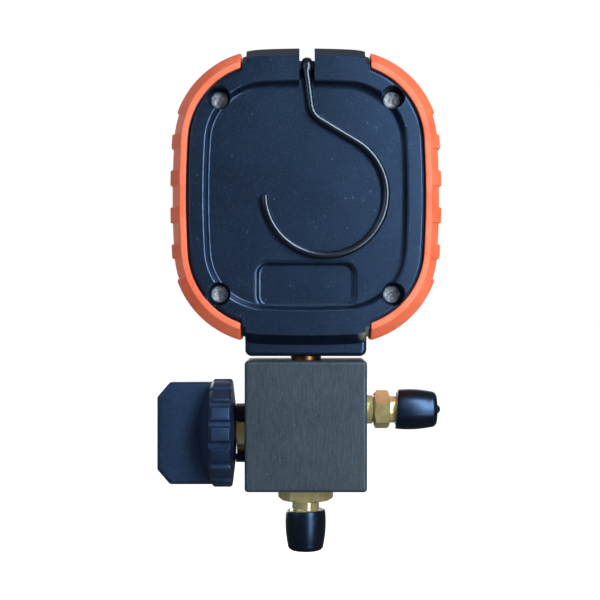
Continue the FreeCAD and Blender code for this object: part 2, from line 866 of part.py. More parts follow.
def round_bar(a, b, width, y0, y1):
    # A flat bar with round ends between two (x, z) points
    size = math.hypot(b[0] - a[0], b[1] - a[1])
    side = ((a[1] - b[1]) / size, (b[0] - a[0]) / size)
    half = width / 2
    sides = [beyond(a, side, half), beyond(b, side, half), beyond(b, side, -half), beyond(a, side, -half)]
    body = plate(sides, y0, y1)
    return body.fuse([post(half, a, y0, y1), post(half, b, y0, y1)]).removeSplitter()


def sector_gear():
    # Rim with the teeth, web, hub and tail; at rest the pinion meets a gap near the end of the rim
    step = 360 / sector_teeth
    count = round(sector_swing / step) + 2 * spare_teeth
    first = mesh_direction - sector_swing - (spare_teeth - 0.5) * step
    root = sector_pitch - pinion_addendum - root_clearance
    points = [polar(hub_of_sector, first + count * step + web_spread, sector_pivot),
              polar(hub_of_sector, first - web_spread, sector_pivot)]
    tip = sector_pitch + sector_addendum
    for k in range(count):
        points += tooth_points(sector_teeth, root, tip, first + k * step, sector_pivot)
    middle = mesh_direction - sector_swing / 2
    window = round_bar(polar(root * web_window_near, middle, sector_pivot),
                       polar(root * web_window_far, middle, sector_pivot), web_window_width,
                       gear_y - 1, gear_back + 1)
    hub = post(hub_of_sector, sector_pivot, front_plate_back + slip, rear_plate_y - slip)
    arbor = post(arbor_radius, sector_pivot, front_plate_y, rear_plate_back)
    tail = round_bar(sector_pivot, tail_end, tail_width, gear_y, gear_back)
    stud = post(link_pin_radius, tail_end, gear_back - overlap, link_back + slip)
    return plate(points, gear_y, gear_back).cut(window).fuse([hub, arbor, tail, stud])


def link():
    bar = round_bar(tail_end, link_top, link_width, link_y, link_back)
    low = post(link_pin_radius + running_play, tail_end, link_y - 1, link_back + 1)
    high = post(link_pin_radius + link_play, link_top, link_y - 1, link_back + 1)
    return bar.cut([low, high])


def tube_envelope(grow, start, end):
    # The flattened tube's outer form, swept on its circle
    half_depth = tube_width / 2 + grow
    half = tube_thickness / 2 + grow
    x0 = tube_radius - half
    x1 = tube_radius + half
    y0 = tube_plane - half_depth + half
    y1 = tube_plane + half_depth - half
    edges = [Part.makeLine(vec(x0, y0, 0), vec(x0, y1, 0)),
             Part.Arc(vec(x0, y1, 0), vec(tube_radius, y1 + half, 0), vec(x1, y1, 0)).toShape(),
             Part.makeLine(vec(x1, y1, 0), vec(x1, y0, 0)),
             Part.Arc(vec(x1, y0, 0), vec(tube_radius, y0 - half, 0), vec(x0, y0, 0)).toShape()]
    face = Part.Face(Part.Wire(edges))
    solid = face.revolve(vec(0, 0, 0), vec(0, -1, 0), start - end)
    solid.rotate(vec(0, 0, 0), vec(0, -1, 0), end)
    solid.translate(vec(0, 0, case_z))
    return solid


def bourdon_tube():
    outer = tube_envelope(0.0, tube_start, tube_end)
    return outer.cut(tube_envelope(-tube_wall, tube_start + 1, tube_end - 1))


def tube_tip():
    # The block that closes the tube's end, its arm and the pin for the link
    after = tube_end - 90
    end = polar(tube_radius, tube_end, centre)
    near = polar(press, after, end)
    far = polar(tip_size, after, end)
    half = tube_thickness / 2 + tip_cover
    sides = [polar(half, tube_end, near), polar(-half, tube_end, near),
             polar(-half, tube_end, far), polar(half, tube_end, far)]
    block = plate(sides, lug_y, tube_plane + tube_width / 2 + tip_cover)
    arm = round_bar(polar(tip_size / 2, after, end), tip_pin, tip_arm_width, lug_y, lug_y + tip_arm_thickness)
    pin = post(link_pin_radius, tip_pin, link_y - overlap, lug_y + 1)
    return block.fuse([arm, pin])


def plate_outline():
    # Both plates of the movement: round the pinion, the sector's pivot, the pillars and the dial's screws
    edge = pillar_radius + plate_edge
    pivot_x, pivot_z = sector_pivot
    high = case_z + dial_screw_z + ear_reach
    side = dial_screw_x + ear_reach
    low = pillar_places[0][1] - edge
    left = pillar_places[1][0] - edge
    top = pillar_places[1][1] + edge
    return [(-side, high), (-side, high - ear_height), (pillar_places[2][0] - edge, low),
            (pivot_x + pillar_radius, low), (pivot_x + edge, pivot_z),
            (side, high - ear_height), (side, high), (ear_reach, top), (left, top)]


def bearing_holes(y0, y1, pinion_bore):
    return [post(pinion_bore + running_play, centre, y0, y1),
            post(arbor_radius + running_play, sector_pivot, y0, y1)]


def movement_front_plate():
    posts = [post(dial_post_radius, place, dial_back, front_plate_back) for place in dial_screw_places()]
    holes = bearing_holes(front_plate_y - 1, front_plate_back + 1, pinion_shaft_radius)
    for place in pillar_places:
        holes.append(post(small_screw_radius + slip, place, front_plate_y - 1, front_plate_back + 1))
    for place in dial_screw_places():
        holes.append(post(small_screw_radius, place, dial_back - 1, front_plate_back + 1))
    return plate(plate_outline(), front_plate_y, front_plate_back).fuse(posts).cut(holes)


def foot_screw_places():
    return [(x, foot_screw_z) for x in (-foot_screw_x, foot_screw_x)]


def movement_rear_plate():
    low = foot_screw_z - small_head_radius - slip
    high = case_z + head_top + leg_rise
    leg = box(-head_half_width, head_half_width, rear_plate_y, rear_plate_back, low, high)
    stud_x = spring_inner + spring_pitch * spring_turns + spring_strip / 2 + spring_stud + press
    stud = post(spring_stud, (stud_x, case_z), spring_y, rear_plate_back)
    holes = bearing_holes(rear_plate_y - 1, rear_plate_back + 1, arbor_radius)
    for place in foot_screw_places():
        holes.append(post(small_screw_radius + slip, place, rear_plate_y - 1, rear_plate_back + 1))
    return plate(plate_outline(), rear_plate_y, rear_plate_back).fuse([leg, stud]).cut(holes)


def movement_pillars():
    pillars = []
    for place in pillar_places:
        tapped = post(small_screw_radius, place, front_plate_back - 1, rear_plate_y - pillar_radius)
        pillars.append(post(pillar_radius, place, front_plate_back, rear_plate_y).cut(tapped))
    return Part.makeCompound(pillars)


def movement_screws():
    screws = []
    for place in pillar_places:
        screws.append(small_screw(place, front_plate_y, plate_thickness + plate_spacing / 2))
    for place in foot_screw_places():
        screws.append(small_screw(place, rear_plate_y, plate_thickness + foot_screw_grip))
    return Part.makeCompound(screws)


def spiral_side(grow):
    # Half circles about two centres in turn, each a half pitch wider than the last
    edges = []
    for k in range(2 * spring_turns):
        radius = spring_inner + spring_pitch / 4 + spring_pitch * k / 2 + grow
        shift = spring_pitch / 4 if k % 2 else -spring_pitch / 4
        start = 180 * (k % 2)
        points = [polar(radius, start + turn, (shift, case_z)) for turn in (0, 90, 180)]
        edges.append(Part.Arc(*[vec(x, spring_y, z) for x, z in points]).toShape())
    return edges


def hairspring():
    inner = spiral_side(-spring_strip / 2)
    outer = spiral_side(spring_strip / 2)
    ends = [Part.makeLine(inner[0].Vertexes[0].Point, outer[0].Vertexes[0].Point),
            Part.makeLine(inner[-1].Vertexes[-1].Point, outer[-1].Vertexes[-1].Point)]
    wire = Part.Wire(Part.__sortEdges__(inner + outer + ends))
    return Part.Face(wire).extrude(vec(0, spring_height, 0))


def pointer():
    back = pointer_zero + 180
    points = [polar(pointer_length, pointer_zero, centre),
              polar(pointer_hub, pointer_zero + pointer_spread, centre),
              polar(pointer_tail, back - tail_spread, centre),
              polar(pointer_tail, back + tail_spread, centre),
              polar(pointer_hub, pointer_zero - pointer_spread, centre)]
    blade = plate(points, pointer_y, pointer_y + pointer_thickness)
    hub = post(pointer_hub, centre, pointer_y - overlap, pointer_y + pointer_over)
    bore = post(pinion_shaft_radius + press, centre, pointer_y - shaft_stub - press, pointer_y + 1)
    return blade.fuse(hub).cut(bore)


def gauge_socket():
    # Thread, stem, flange and head, with the channel that leads up into the tube
    bottom = block_top - stem_thread_length
    back = rear_plate_back + head_depth
    stem = rod(stem_radius, (0, 0, block_top), (0, 0, socket_seat + 1))
    thread = rod(stem_thread_radius, (0, 0, bottom), (0, 0, block_top + 1))
    flange_top = socket_seat + flange_height
    flange = box(-flange_half_width, flange_half_width, -flange_front, back, socket_seat, flange_top)
    head = box(-head_half_width, head_half_width, rear_plate_back, back, socket_seat, case_z + head_top)
    bend = (0, 0, socket_seat + flange_height / 3)
    root_x, root_z = polar(tube_radius, tube_start, centre)
    taken = [tube_envelope(press, tube_start + press, tube_start - tube_slot_turn),
             rod(channel_radius, (0, 0, bottom - 1), bend),
             Part.makeSphere(channel_radius, vec(*bend)),
             rod(channel_radius, bend, (0, tube_plane, root_z)),
             rod(tube_thickness / 3, (root_x, tube_plane, root_z), (0, tube_plane, root_z))]
    for x in (-socket_screw_x, socket_screw_x):
        taken.append(rod(screw_radius + slip, (x, 0, socket_seat - 1), (x, 0, flange_top + 1)))
    for place in foot_screw_places():
        depth = rear_plate_back + foot_screw_grip + screw_tap_spare
        taken.append(post(small_screw_radius, place, rear_plate_back - 1, depth))
    return stem.fuse([thread, flange, head]).cut(taken)


def socket_screws():
    top = socket_seat + flange_height
    screws = []
    for x in (-socket_screw_x, socket_screw_x):
        screws.append(pan_screw(screw_pilot - press, screw_head_radius, screw_head_height,
                                flange_height + socket_screw_depth, (x, 0, top), (0, 0, 1)))
    return Part.makeCompound(screws)


def along(face, direction, distance):
    # The point at a distance in front of a face, or behind it where the distance is negative
    point = vec(*face) + vec(*direction) * distance
    return point.x, point.y, point.z


def port_hole(face, direction, thread_radius, length):
    # A tapped hole for a fitting and its flat seal
    bottom = along(face, direction, -length - seal_thickness)
    return rod(thread_radius + thread_play, bottom, along(face, direction, 1))


def seal(face, direction, length, outer):
    # A flat ring at the bottom of a tapped hole
    bottom = along(face, direction, -length - seal_thickness)
    return pipe(outer - slip, seal_bore, bottom, along(face, direction, -length))


top_face = (0, 0, block_top)
bottom_face = (0, 0, block_base)
side_face = (-block_half_width, 0, side_port_z)
side_hex_face = (-block_half_width - side_collar, 0, side_port_z)
side_nose = (-block_half_width - side_collar - side_hex_length - port_reach, 0, side_port_z)
upward = (0, 0, 1)
downward = (0, 0, -1)
outward = (-1, 0, 0)
inward_end = -block_half_width + fitting_thread_length + seal_thickness


def valve_rod(radius, x0, x1):
    return rod(radius, (x0, 0, valve_z), (x1, 0, valve_z))


def manifold_block():
    front = block_back - block_depth
    block = box(-block_half_width, block_half_width, front, block_back, block_base, block_top)
    block = block.makeFillet(block_round, block.Edges)
    seat_end = chamber_end - seat_reach
    side_start = (inward_end + block_passage / 2, 0, side_port_z)
    taken = [port_hole(top_face, upward, stem_thread_radius, stem_thread_length),
             port_hole(bottom_face, downward, fitting_thread_radius, fitting_thread_length),
             port_hole(side_face, outward, fitting_thread_radius, fitting_thread_length),
             rod(gauge_passage, (0, 0, valve_z), (0, 0, block_top - stem_thread_length)),
             rod(block_passage, (0, 0, block_base + fitting_thread_length), (0, 0, valve_z)),
             rod(block_passage, side_face, (inward_end + 2, 0, side_port_z)),
             rod(gauge_passage, side_start, (seat_end + 2, 0, valve_z)),
             valve_rod(seat_radius, seat_end, chamber_end + 1),
             valve_rod(chamber_radius, chamber_end, block_half_width + 1),
             valve_rod(bonnet_thread_radius + thread_play, bonnet_inner, block_half_width + 1)]
    return block.cut(taken)


def flare_body(face, direction, root_radius, collar, start):
    # Thread into the block, collar or root, neck, flare thread and 45 degree nose, as one turned piece
    nose = start + port_reach
    neck_end = start + flare_neck
    cone = nose - (flare_radius - flare_bevel - flare_nose_radius)
    profile = [(0, -fitting_thread_length), (fitting_thread_radius, -fitting_thread_length),
               (fitting_thread_radius, 0), (root_radius, 0), (root_radius, collar + overlap),
               (flare_neck_radius, collar + overlap), (flare_neck_radius, neck_end),
               (flare_radius, neck_end + flare_runout), (flare_radius, cone - flare_bevel),
               (flare_radius - flare_bevel, cone), (flare_nose_radius, nose), (0, nose)]
    return turned(profile, face, direction)


def side_fitting():
    start = side_collar + side_hex_length
    body = flare_body(side_face, outward, side_collar_radius, side_collar, start)
    nut = hexagon(side_hex, side_hex_face, outward, side_hex_length, side_hex_turn, (0, 1, 0))
    start_of_bore = along(side_face, outward, -fitting_thread_length - 1)
    bore = rod(passage_radius, start_of_bore, along(side_nose, outward, 1))
    return body.fuse(nut).cut(bore)


def bottom_fitting():
    body = flare_body(bottom_face, downward, fitting_thread_radius, 0.0, bottom_hex_length)
    nut = hexagon(bottom_hex, bottom_face, downward, bottom_hex_length, bottom_hex_turn, (0, 1, 0))
    bore = rod(passage_radius, along(bottom_face, downward, -fitting_thread_length - 1), (0, 0, -1))
    return body.fuse(nut).cut(bore)


def soft_cap(nose, direction, start, nub):
    # A dipped cap, mouth first; its hollow follows the flare thread and the nose with a clearance
    depth = port_reach - start
    bore = flare_radius + cap_clearance
    narrow = bore - cap_inner_cone
    floor = depth + cap_floor
    shoulder = cap_length - cap_corner
    flat = cap_end_radius - cap_corner

    def at(point):
        return vec(point[0], 0, point[1])

    swell = Part.BSplineCurve()
    swell.interpolate([at((cap_mouth_radius, 0)), at((cap_belly_radius, cap_length * cap_belly_at)),
                       at((cap_end_radius, shoulder))])
    corner = Part.Arc(at((cap_end_radius, shoulder)), at(polar(cap_corner, 45, (flat, shoulder))),
                      at((flat, cap_length)))
    end = [(flat, cap_length), (0, cap_length)]
    if nub > 0:
        high = cap_length + nub
        end = [(flat, cap_length), (nub_radius, cap_length), (nub_radius / 2, high), (0, high)]
    inside = [(0, floor), (narrow, floor), (bore, floor - cap_inner_cone), (bore, 0), (cap_mouth_radius, 0)]
    points = [at(point) for point in end + inside]
    edges = [swell.toShape(), corner.toShape()]
    for a, b in zip(points, points[1:]):
        edges.append(Part.makeLine(a, b))
    solid = Part.Face(Part.Wire(edges)).revolve(vec(0, 0, 0), vec(0, 0, 1), 360)
    mouth = vec(*along(nose, direction, -depth))
    solid.Placement = FreeCAD.Placement(mouth, FreeCAD.Rotation(vec(0, 0, 1), vec(*direction)))
    return solid


def ring_seal(middle_radius, thickness, x):
    ring = Part.makeTorus(middle_radius, thickness)
    ring.Placement = FreeCAD.Placement(vec(x, 0, valve_z), FreeCAD.Rotation(vec(0, 0, 1), vec(1, 0, 0)))
    return ring


bonnet_inner = block_half_width - bonnet_thread_length
bonnet_outer = block_half_width + bonnet_hex_length
packing_x = (bonnet_inner + block_half_width) / 2 + packing_ahead
seal_start = chamber_end + press
piston_start = seal_start + piston_seal_length
piston_wide = piston_start + piston_nose
piston_end = piston_start + piston_length
button_start = piston_wide - overlap
button_end = button_start + stem_button
groove_x = piston_wide + groove_behind


def valve_bonnet():
    body = valve_rod(bonnet_thread_radius, bonnet_inner, block_half_width)
    face = (block_half_width, 0, valve_z)
    body = body.fuse(hexagon(bonnet_hex, face, (1, 0, 0), bonnet_hex_length, bonnet_hex_turn, (0, 1, 0)))
    half = packing_radius + slip
    groove = valve_rod(valve_stem_radius + 2 * half, packing_x - half, packing_x + half)
    bore = valve_rod(valve_stem_radius + running_play, bonnet_inner - 1, bonnet_outer + 1)
    return body.cut([bore, groove])


def stem_packing():
    return ring_seal(valve_stem_radius + packing_radius + slip, packing_radius, packing_x)


def bonnet_ring():
    # A black snap ring round the bonnet, open towards the back
    start = (block_half_width, 0, valve_z)
    ring = pipe(ring_outer, ring_outer - ring_width, start, along(start, (1, 0, 0), ring_length))
    far = 2 * ring_outer
    opening = [(0, 0), polar(far, ring_open_above), (far, 0), polar(far, -ring_open_below)]
    wedge = [vec(block_half_width - 1, y, valve_z + z) for y, z in opening]
    return ring.cut(Part.Face(Part.makePolygon(wedge + [wedge[0]])).extrude(vec(ring_length + 2, 0, 0)))


def valve_piston():
    body = valve_rod(piston_seal_radius, piston_start, piston_wide + overlap)
    body = body.fuse(valve_rod(chamber_radius - piston_play, piston_wide, piston_end))
    groove = valve_rod(chamber_radius + 1, groove_x - groove_half_width, groove_x + groove_half_width)
    groove = groove.cut(valve_rod(groove_radius, groove_x - 1, groove_x + 1))
    hollow = valve_rod(stem_button_radius + slip, button_start - slip, button_end + slip)
    return body.cut([groove, hollow, valve_rod(stem_neck_radius + slip, button_end, piston_end + 1)])


def piston_seal():
    # The soft disc that closes the seat, with a low cone that enters it
    profile = [(0, -seal_cone), (seat_radius - seal_cone_play, -seal_cone), (seat_radius - slip, 0),
               (piston_seal_radius, 0), (piston_seal_radius, piston_seal_length), (0, piston_seal_length)]
    return turned(profile, (seal_start, 0, valve_z), (1, 0, 0))


def piston_oring():
    gap = chamber_radius - piston_play - groove_radius
    return ring_seal(groove_radius + gap / 2, gap / 2 - press, groove_x)


def valve_stem():
    shoulder = piston_end + slip
    button = valve_rod(stem_button_radius, button_start, button_end)
    neck = valve_rod(stem_neck_radius, button_end - overlap, shoulder + overlap)
    return button.fuse([neck, valve_rod(valve_stem_radius, shoulder, knob_start + knob_bore_depth)])


def knob_flutes():
    # V grooves with flat floors, evenly round the disc
    floor = disc_radius - flute_depth
    over = disc_radius + flute_depth
    wide = flute_mouth - flute_floor / 2
    section = [(floor, -flute_floor / 2), (floor, flute_floor / 2), (over, wide), (over, -wide)]
    points = [vec(knob_start - 1, y, z) for y, z in section]
    flute = Part.Face(Part.makePolygon(points + [points[0]])).extrude(vec(disc_end - knob_start + 2, 0, 0))
    flutes = []
    for k in range(flute_count):
        one = flute.copy()
        one.rotate(vec(0, 0, 0), vec(1, 0, 0), flute_phase + 360 / flute_count * (k + 0.5))
        one.translate(vec(0, 0, valve_z))
        flutes.append(one)
    return flutes


def knob_disc():
    profile = [(0, knob_start), (hub_radius, knob_start), (disc_radius - overlap, disc_start),
               (disc_radius, disc_start + overlap), (disc_radius, disc_end - rim_bevel),
               (disc_radius - rim_bevel, disc_end), (0, disc_end)]
    return turned(profile, (0, 0, valve_z), (1, 0, 0)).cut(knob_flutes())


def knob_blade():
    # A flat grip with bevelled outer corners and round edges
    inner = disc_end - rim_bevel - 1
    slope = blade_end - blade_corner_axial
    step = blade_half_height - blade_corner_radial
    sketch = [(inner, -blade_half_height), (slope, -blade_half_height), (blade_end, -step), (blade_end, step),
              (slope, blade_half_height), (inner, blade_half_height)]
    blade = plate([(x, valve_z + z) for x, z in sketch], -blade_half_thickness, blade_half_thickness)
    outer_edges = [edge for edge in blade.Edges if edge.BoundBox.XMax > inner + slip]
    return blade.makeFillet(blade_round, outer_edges)


def knob():
    sphere_radius = (dome_radius ** 2 + dome_height ** 2) / 2 / dome_height
    ball = Part.makeSphere(sphere_radius, vec(disc_end + dome_height - sphere_radius, 0, valve_z))
    dome = ball.common(valve_rod(dome_radius + 1, disc_end - overlap, disc_end + 2 * dome_height))
    body = knob_disc().fuse([dome, knob_blade()])
    bore = valve_rod(valve_stem_radius + press, knob_start - 1, knob_start + knob_bore_depth + press)
    return body.cut(bore).removeSplitter()


bumper_left, bumper_right = bumpers()
nodes = {
    "case_body": case_body(),
    "back_cover": back_cover(),
    "bumper_left": bumper_left,
    "bumper_right": bumper_right,
    "cover_screws": cover_screws(),
    "hook": hook(),
    "hook_pin": hook_pin(),
    "bezel_ring": bezel_ring(),
    "lens_gasket": lens_gasket(),
    "lens": lens(),
    "dial_plate": dial_plate(),
    "dial_screws": dial_screws(),
    "pointer": pointer(),
    "pinion_shaft": pinion_shaft(),
    "sector_gear": sector_gear(),
    "link": link(),
    "bourdon_tube": bourdon_tube(),
    "tube_tip": tube_tip(),
    "hairspring": hairspring(),
    "movement_front_plate": movement_front_plate(),
    "movement_rear_plate": movement_rear_plate(),
    "movement_pillars": movement_pillars(),
    "movement_screws": movement_screws(),
    "gauge_socket": gauge_socket(),
    "socket_screws": socket_screws(),
    "stem_seal": seal(top_face, upward, stem_thread_length, stem_thread_radius),
    "manifold_block": manifold_block(),
    "side_fitting": side_fitting(),
    "side_seal": seal(side_face, outward, fitting_thread_length, fitting_thread_radius),
    "side_cap": soft_cap(side_nose, outward, side_cap_start, nub_height),
    "bottom_fitting": bottom_fitting(),
    "bottom_seal": seal(bottom_face, downward, fitting_thread_length, fitting_thread_radius),
    "bottom_cap": soft_cap((0, 0, 0), downward, bottom_cap_start, 0),
    "valve_bonnet": valve_bonnet(),
    "bonnet_ring": bonnet_ring(),
    "stem_packing": stem_packing(),
    "valve_piston": valve_piston(),
    "piston_seal": piston_seal(),
    "piston_oring": piston_oring(),
    "valve_stem": valve_stem(),
    "knob": knob(),
}
os.makedirs("parts", exist_ok=True)
for name, shape in nodes.items():
    shape.exportStep("parts/" + name + ".step")
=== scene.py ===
import json
import math

import bmesh
import bpy
import numpy as np
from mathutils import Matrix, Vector

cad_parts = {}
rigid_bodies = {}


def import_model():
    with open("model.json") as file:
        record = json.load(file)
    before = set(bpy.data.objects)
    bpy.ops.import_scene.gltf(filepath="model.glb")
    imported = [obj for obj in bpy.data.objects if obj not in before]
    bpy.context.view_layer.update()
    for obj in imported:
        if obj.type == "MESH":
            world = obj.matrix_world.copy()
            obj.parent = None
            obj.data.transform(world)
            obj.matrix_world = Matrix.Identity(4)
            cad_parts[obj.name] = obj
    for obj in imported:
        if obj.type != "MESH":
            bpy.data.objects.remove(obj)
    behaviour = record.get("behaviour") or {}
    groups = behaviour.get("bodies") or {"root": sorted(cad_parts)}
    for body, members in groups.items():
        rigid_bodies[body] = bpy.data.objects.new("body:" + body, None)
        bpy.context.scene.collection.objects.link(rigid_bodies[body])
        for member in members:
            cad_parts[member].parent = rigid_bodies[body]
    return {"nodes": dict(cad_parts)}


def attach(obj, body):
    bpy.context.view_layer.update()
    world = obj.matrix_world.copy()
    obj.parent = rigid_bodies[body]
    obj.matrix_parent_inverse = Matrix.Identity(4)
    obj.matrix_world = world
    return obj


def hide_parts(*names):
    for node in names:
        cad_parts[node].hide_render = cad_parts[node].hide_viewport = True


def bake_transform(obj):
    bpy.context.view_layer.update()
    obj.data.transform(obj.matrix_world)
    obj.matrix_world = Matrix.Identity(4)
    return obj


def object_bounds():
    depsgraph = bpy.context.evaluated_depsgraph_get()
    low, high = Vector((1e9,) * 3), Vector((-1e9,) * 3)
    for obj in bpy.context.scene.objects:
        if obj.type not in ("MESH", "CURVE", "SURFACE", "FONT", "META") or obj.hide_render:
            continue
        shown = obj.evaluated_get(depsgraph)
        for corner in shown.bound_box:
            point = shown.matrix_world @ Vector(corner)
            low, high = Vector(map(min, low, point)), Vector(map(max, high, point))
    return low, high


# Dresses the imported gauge: finer pieces, finishes, a pale floor, soft light and a camera at its back.
# Blender works in metres; the pieces are worked out in millimetres, +Z up.
# The camera looks along -Y at the back cover, so the picture's right is -X.

for leftover in list(bpy.data.objects):
    bpy.data.objects.remove(leftover)
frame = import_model()
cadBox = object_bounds()
scene = bpy.context.scene
mm = 0.001
print("frame loaded")


def colour(tone):
    # Red, green and blue as they look on screen, 0 to 255, as linear values
    parts = np.array(tone) / 255
    linear = np.where(parts <= 0.04045, parts / 12.92, ((parts + 0.055) / 1.055) ** 2.4)
    return (*linear.tolist(), 1.0)


# Nodes

def put(tree, socket, value):
    # Links another node's output to the socket, or sets a plain value on it
    if isinstance(value, bpy.types.NodeSocket):
        tree.links.new(value, socket)
    else:
        socket.default_value = value


def setNode(tree, node, *numbered, **named):
    # Fills sockets by name, with _ for a space, and by number. Other names are the node's own settings.
    for key, value in named.items():
        label = key.replace("_", " ")
        if label in node.inputs:
            put(tree, node.inputs[label], value)
        else:
            setattr(node, key, value)
    for number, value in enumerate(numbered):
        put(tree, node.inputs[number], value)
    return node


def newNode(tree, kind, *numbered, **named):
    return setNode(tree, tree.nodes.new(kind), *numbered, **named)


def mathNode(tree, operation, *values):
    return newNode(tree, "ShaderNodeMath", *values, operation=operation).outputs[0]


def stretch(tree, value, low, high):
    # Brings the stretch from low to high to 0..1 and clamps it
    return newNode(tree, "ShaderNodeMapRange", Value=value, From_Min=low, From_Max=high).outputs["Result"]


def rangeOf(tree, value, low, high):
    # Brings 0..1 to low..high
    return newNode(tree, "ShaderNodeMapRange", Value=value, To_Min=low, To_Max=high).outputs["Result"]


def noiseAt(tree, place, scale, detail, roughness):
    return newNode(tree, "ShaderNodeTexNoise", Vector=place, Scale=scale, Detail=detail,
                   Roughness=roughness).outputs["Fac"]


# Shader groups: each gives a mask and a height that vary over the surface

def mouldGrain(tree, given):
    # Spark-eroded grain: a fine noise as the height, the same noise sharpened as the mask; Size is grains per metre
    fine = noiseAt(tree, given["Position"], given["Size"], 3.0, 0.6)
    return stretch(tree, fine, 0.5, 0.68), fine


def clouds(tree, given):
    # Slow clouds of tone; Size is clouds per metre
    slow = noiseAt(tree, given["Position"], given["Size"], 4.0, 0.6)
    return stretch(tree, slow, 0.36, 0.64), slow


def brushedGrain(tree, given):
    # Noise drawn out along Z by Stretch, in two widths: bands as the mask, fine scratches as the height
    scale = newNode(tree, "ShaderNodeCombineXYZ", X=1.0, Y=1.0, Z=given["Stretch"])
    drawn = newNode(tree, "ShaderNodeVectorMath", given["Position"], scale.outputs[0],
                    operation="MULTIPLY").outputs[0]
    broad = noiseAt(tree, drawn, mathNode(tree, "MULTIPLY", given["Size"], 0.7), 5.0, 0.7)
    return stretch(tree, broad, 0.3, 0.7), noiseAt(tree, drawn, given["Size"], 4.0, 0.7)


def dustSpecks(tree, given):
    # A speck stands where a cell's centre is near and the cell's own random number is below Share
    cells = newNode(tree, "ShaderNodeTexVoronoi", Vector=given["Position"], Scale=given["Size"])
    near = mathNode(tree, "LESS_THAN", cells.outputs["Distance"], 0.16)
    split = newNode(tree, "ShaderNodeSeparateColor", cells.outputs["Color"])
    speck = mathNode(tree, "MULTIPLY", near, mathNode(tree, "LESS_THAN", split.outputs[0], given["Share"]))
    return speck, speck


def scuffs(tree, given):
    # Fine curved scratches: the thin stretch of a noise that is close to its middle, kept in some patches only
    lines = noiseAt(tree, given["Position"], given["Size"], 2.0, 0.5)
    off = mathNode(tree, "ABSOLUTE", mathNode(tree, "SUBTRACT", lines, 0.5))
    thin = mathNode(tree, "LESS_THAN", off, given["Width"])
    patches = noiseAt(tree, given["Position"], mathNode(tree, "MULTIPLY", given["Size"], 0.6), 3.0, 0.6)
    mask = mathNode(tree, "MULTIPLY", thin, stretch(tree, patches, 0.56, 0.7))
    return mask, mask


def newGroup(build, **numbers):
    # A group with a position and the numbers as inputs; build works out its mask and height
    tree = bpy.data.node_groups.new(build.__name__, "ShaderNodeTree")
    tree.interface.new_socket("Position", in_out="INPUT", socket_type="NodeSocketVector")
    for label, value in numbers.items():
        socket = tree.interface.new_socket(label, in_out="INPUT", socket_type="NodeSocketFloat")
        socket.default_value = value
    for label in ("Mask", "Height"):
        tree.interface.new_socket(label, in_out="OUTPUT", socket_type="NodeSocketFloat")
    made = build(tree, tree.nodes.new("NodeGroupInput").outputs)
    newNode(tree, "NodeGroupOutput", *made)
    return tree


groups = {"grain": newGroup(mouldGrain, Size=1500.0), "clouds": newGroup(clouds, Size=45.0),
          "brush": newGroup(brushedGrain, Size=1100.0, Stretch=0.03),
          "dust": newGroup(dustSpecks, Size=420.0, Share=0.12), "scuffs": newGroup(scuffs, Size=130.0, Width=0.012)}
print("shader groups built")


def startMaterial(name, base, roughness, metallic=0.0, turn=(0.4, 0.5, 0.6), **constants):
    # The pattern's axes are turned, so that no flat face lies along the noise's own grid
    made = bpy.data.materials.new(name)
    made.use_nodes = True
    made.diffuse_color = base
    tree = made.node_tree
    shader = setNode(tree, tree.nodes["Principled BSDF"], Base_Color=base, Roughness=roughness, Metallic=metallic,
                     **constants)
    place = newNode(tree, "ShaderNodeTexCoord").outputs["Object"]
    turned = newNode(tree, "ShaderNodeMapping", Vector=place, Rotation=turn)
    return made, tree, shader, turned.outputs["Vector"]


def useGroup(tree, place, name, **numbers):
    made = newNode(tree, "ShaderNodeGroup", node_tree=groups[name], Position=place, **numbers)
    return made.outputs["Mask"], made.outputs["Height"]


def mixColour(tree, mask, share, first, second):
    # The second colour over the first, by the mask times the share; sockets 6 and 7 are the two colours
    made = newNode(tree, "ShaderNodeMix", mathNode(tree, "MULTIPLY", mask, share), data_type="RGBA")
    put(tree, made.inputs[6], first)
    put(tree, made.inputs[7], second)
    return made.outputs[2]


def finishSurface(tree, shader, tone, rough, height, strength, depth):
    # Colour, roughness and a bump as deep as depth, in metres
    bump = newNode(tree, "ShaderNodeBump", Strength=strength, Distance=depth, Height=height)
    setNode(tree, shader, Base_Color=tone, Roughness=rough, Normal=bump.outputs["Normal"])


def mixShaders(tree, *parts):
    return newNode(tree, "ShaderNodeMixShader", *parts).outputs[0]


# Painted glints: a lighter colour on the grain's tops, in the share given below
plasticLook = {"clouds": 0.8, "paintedGlints": 0.4, "grainInGloss": 0.65, "cloudsInGloss": 0.35, "depth": 0.0001,
               "dustSize": 620.0, "dustShare": 0.05, "dust": (120, 132, 150), "scuffSize": 90.0, "scuffWidth": 0.004,
               "scuffs": 0.3, "scuff": (96, 112, 140)}


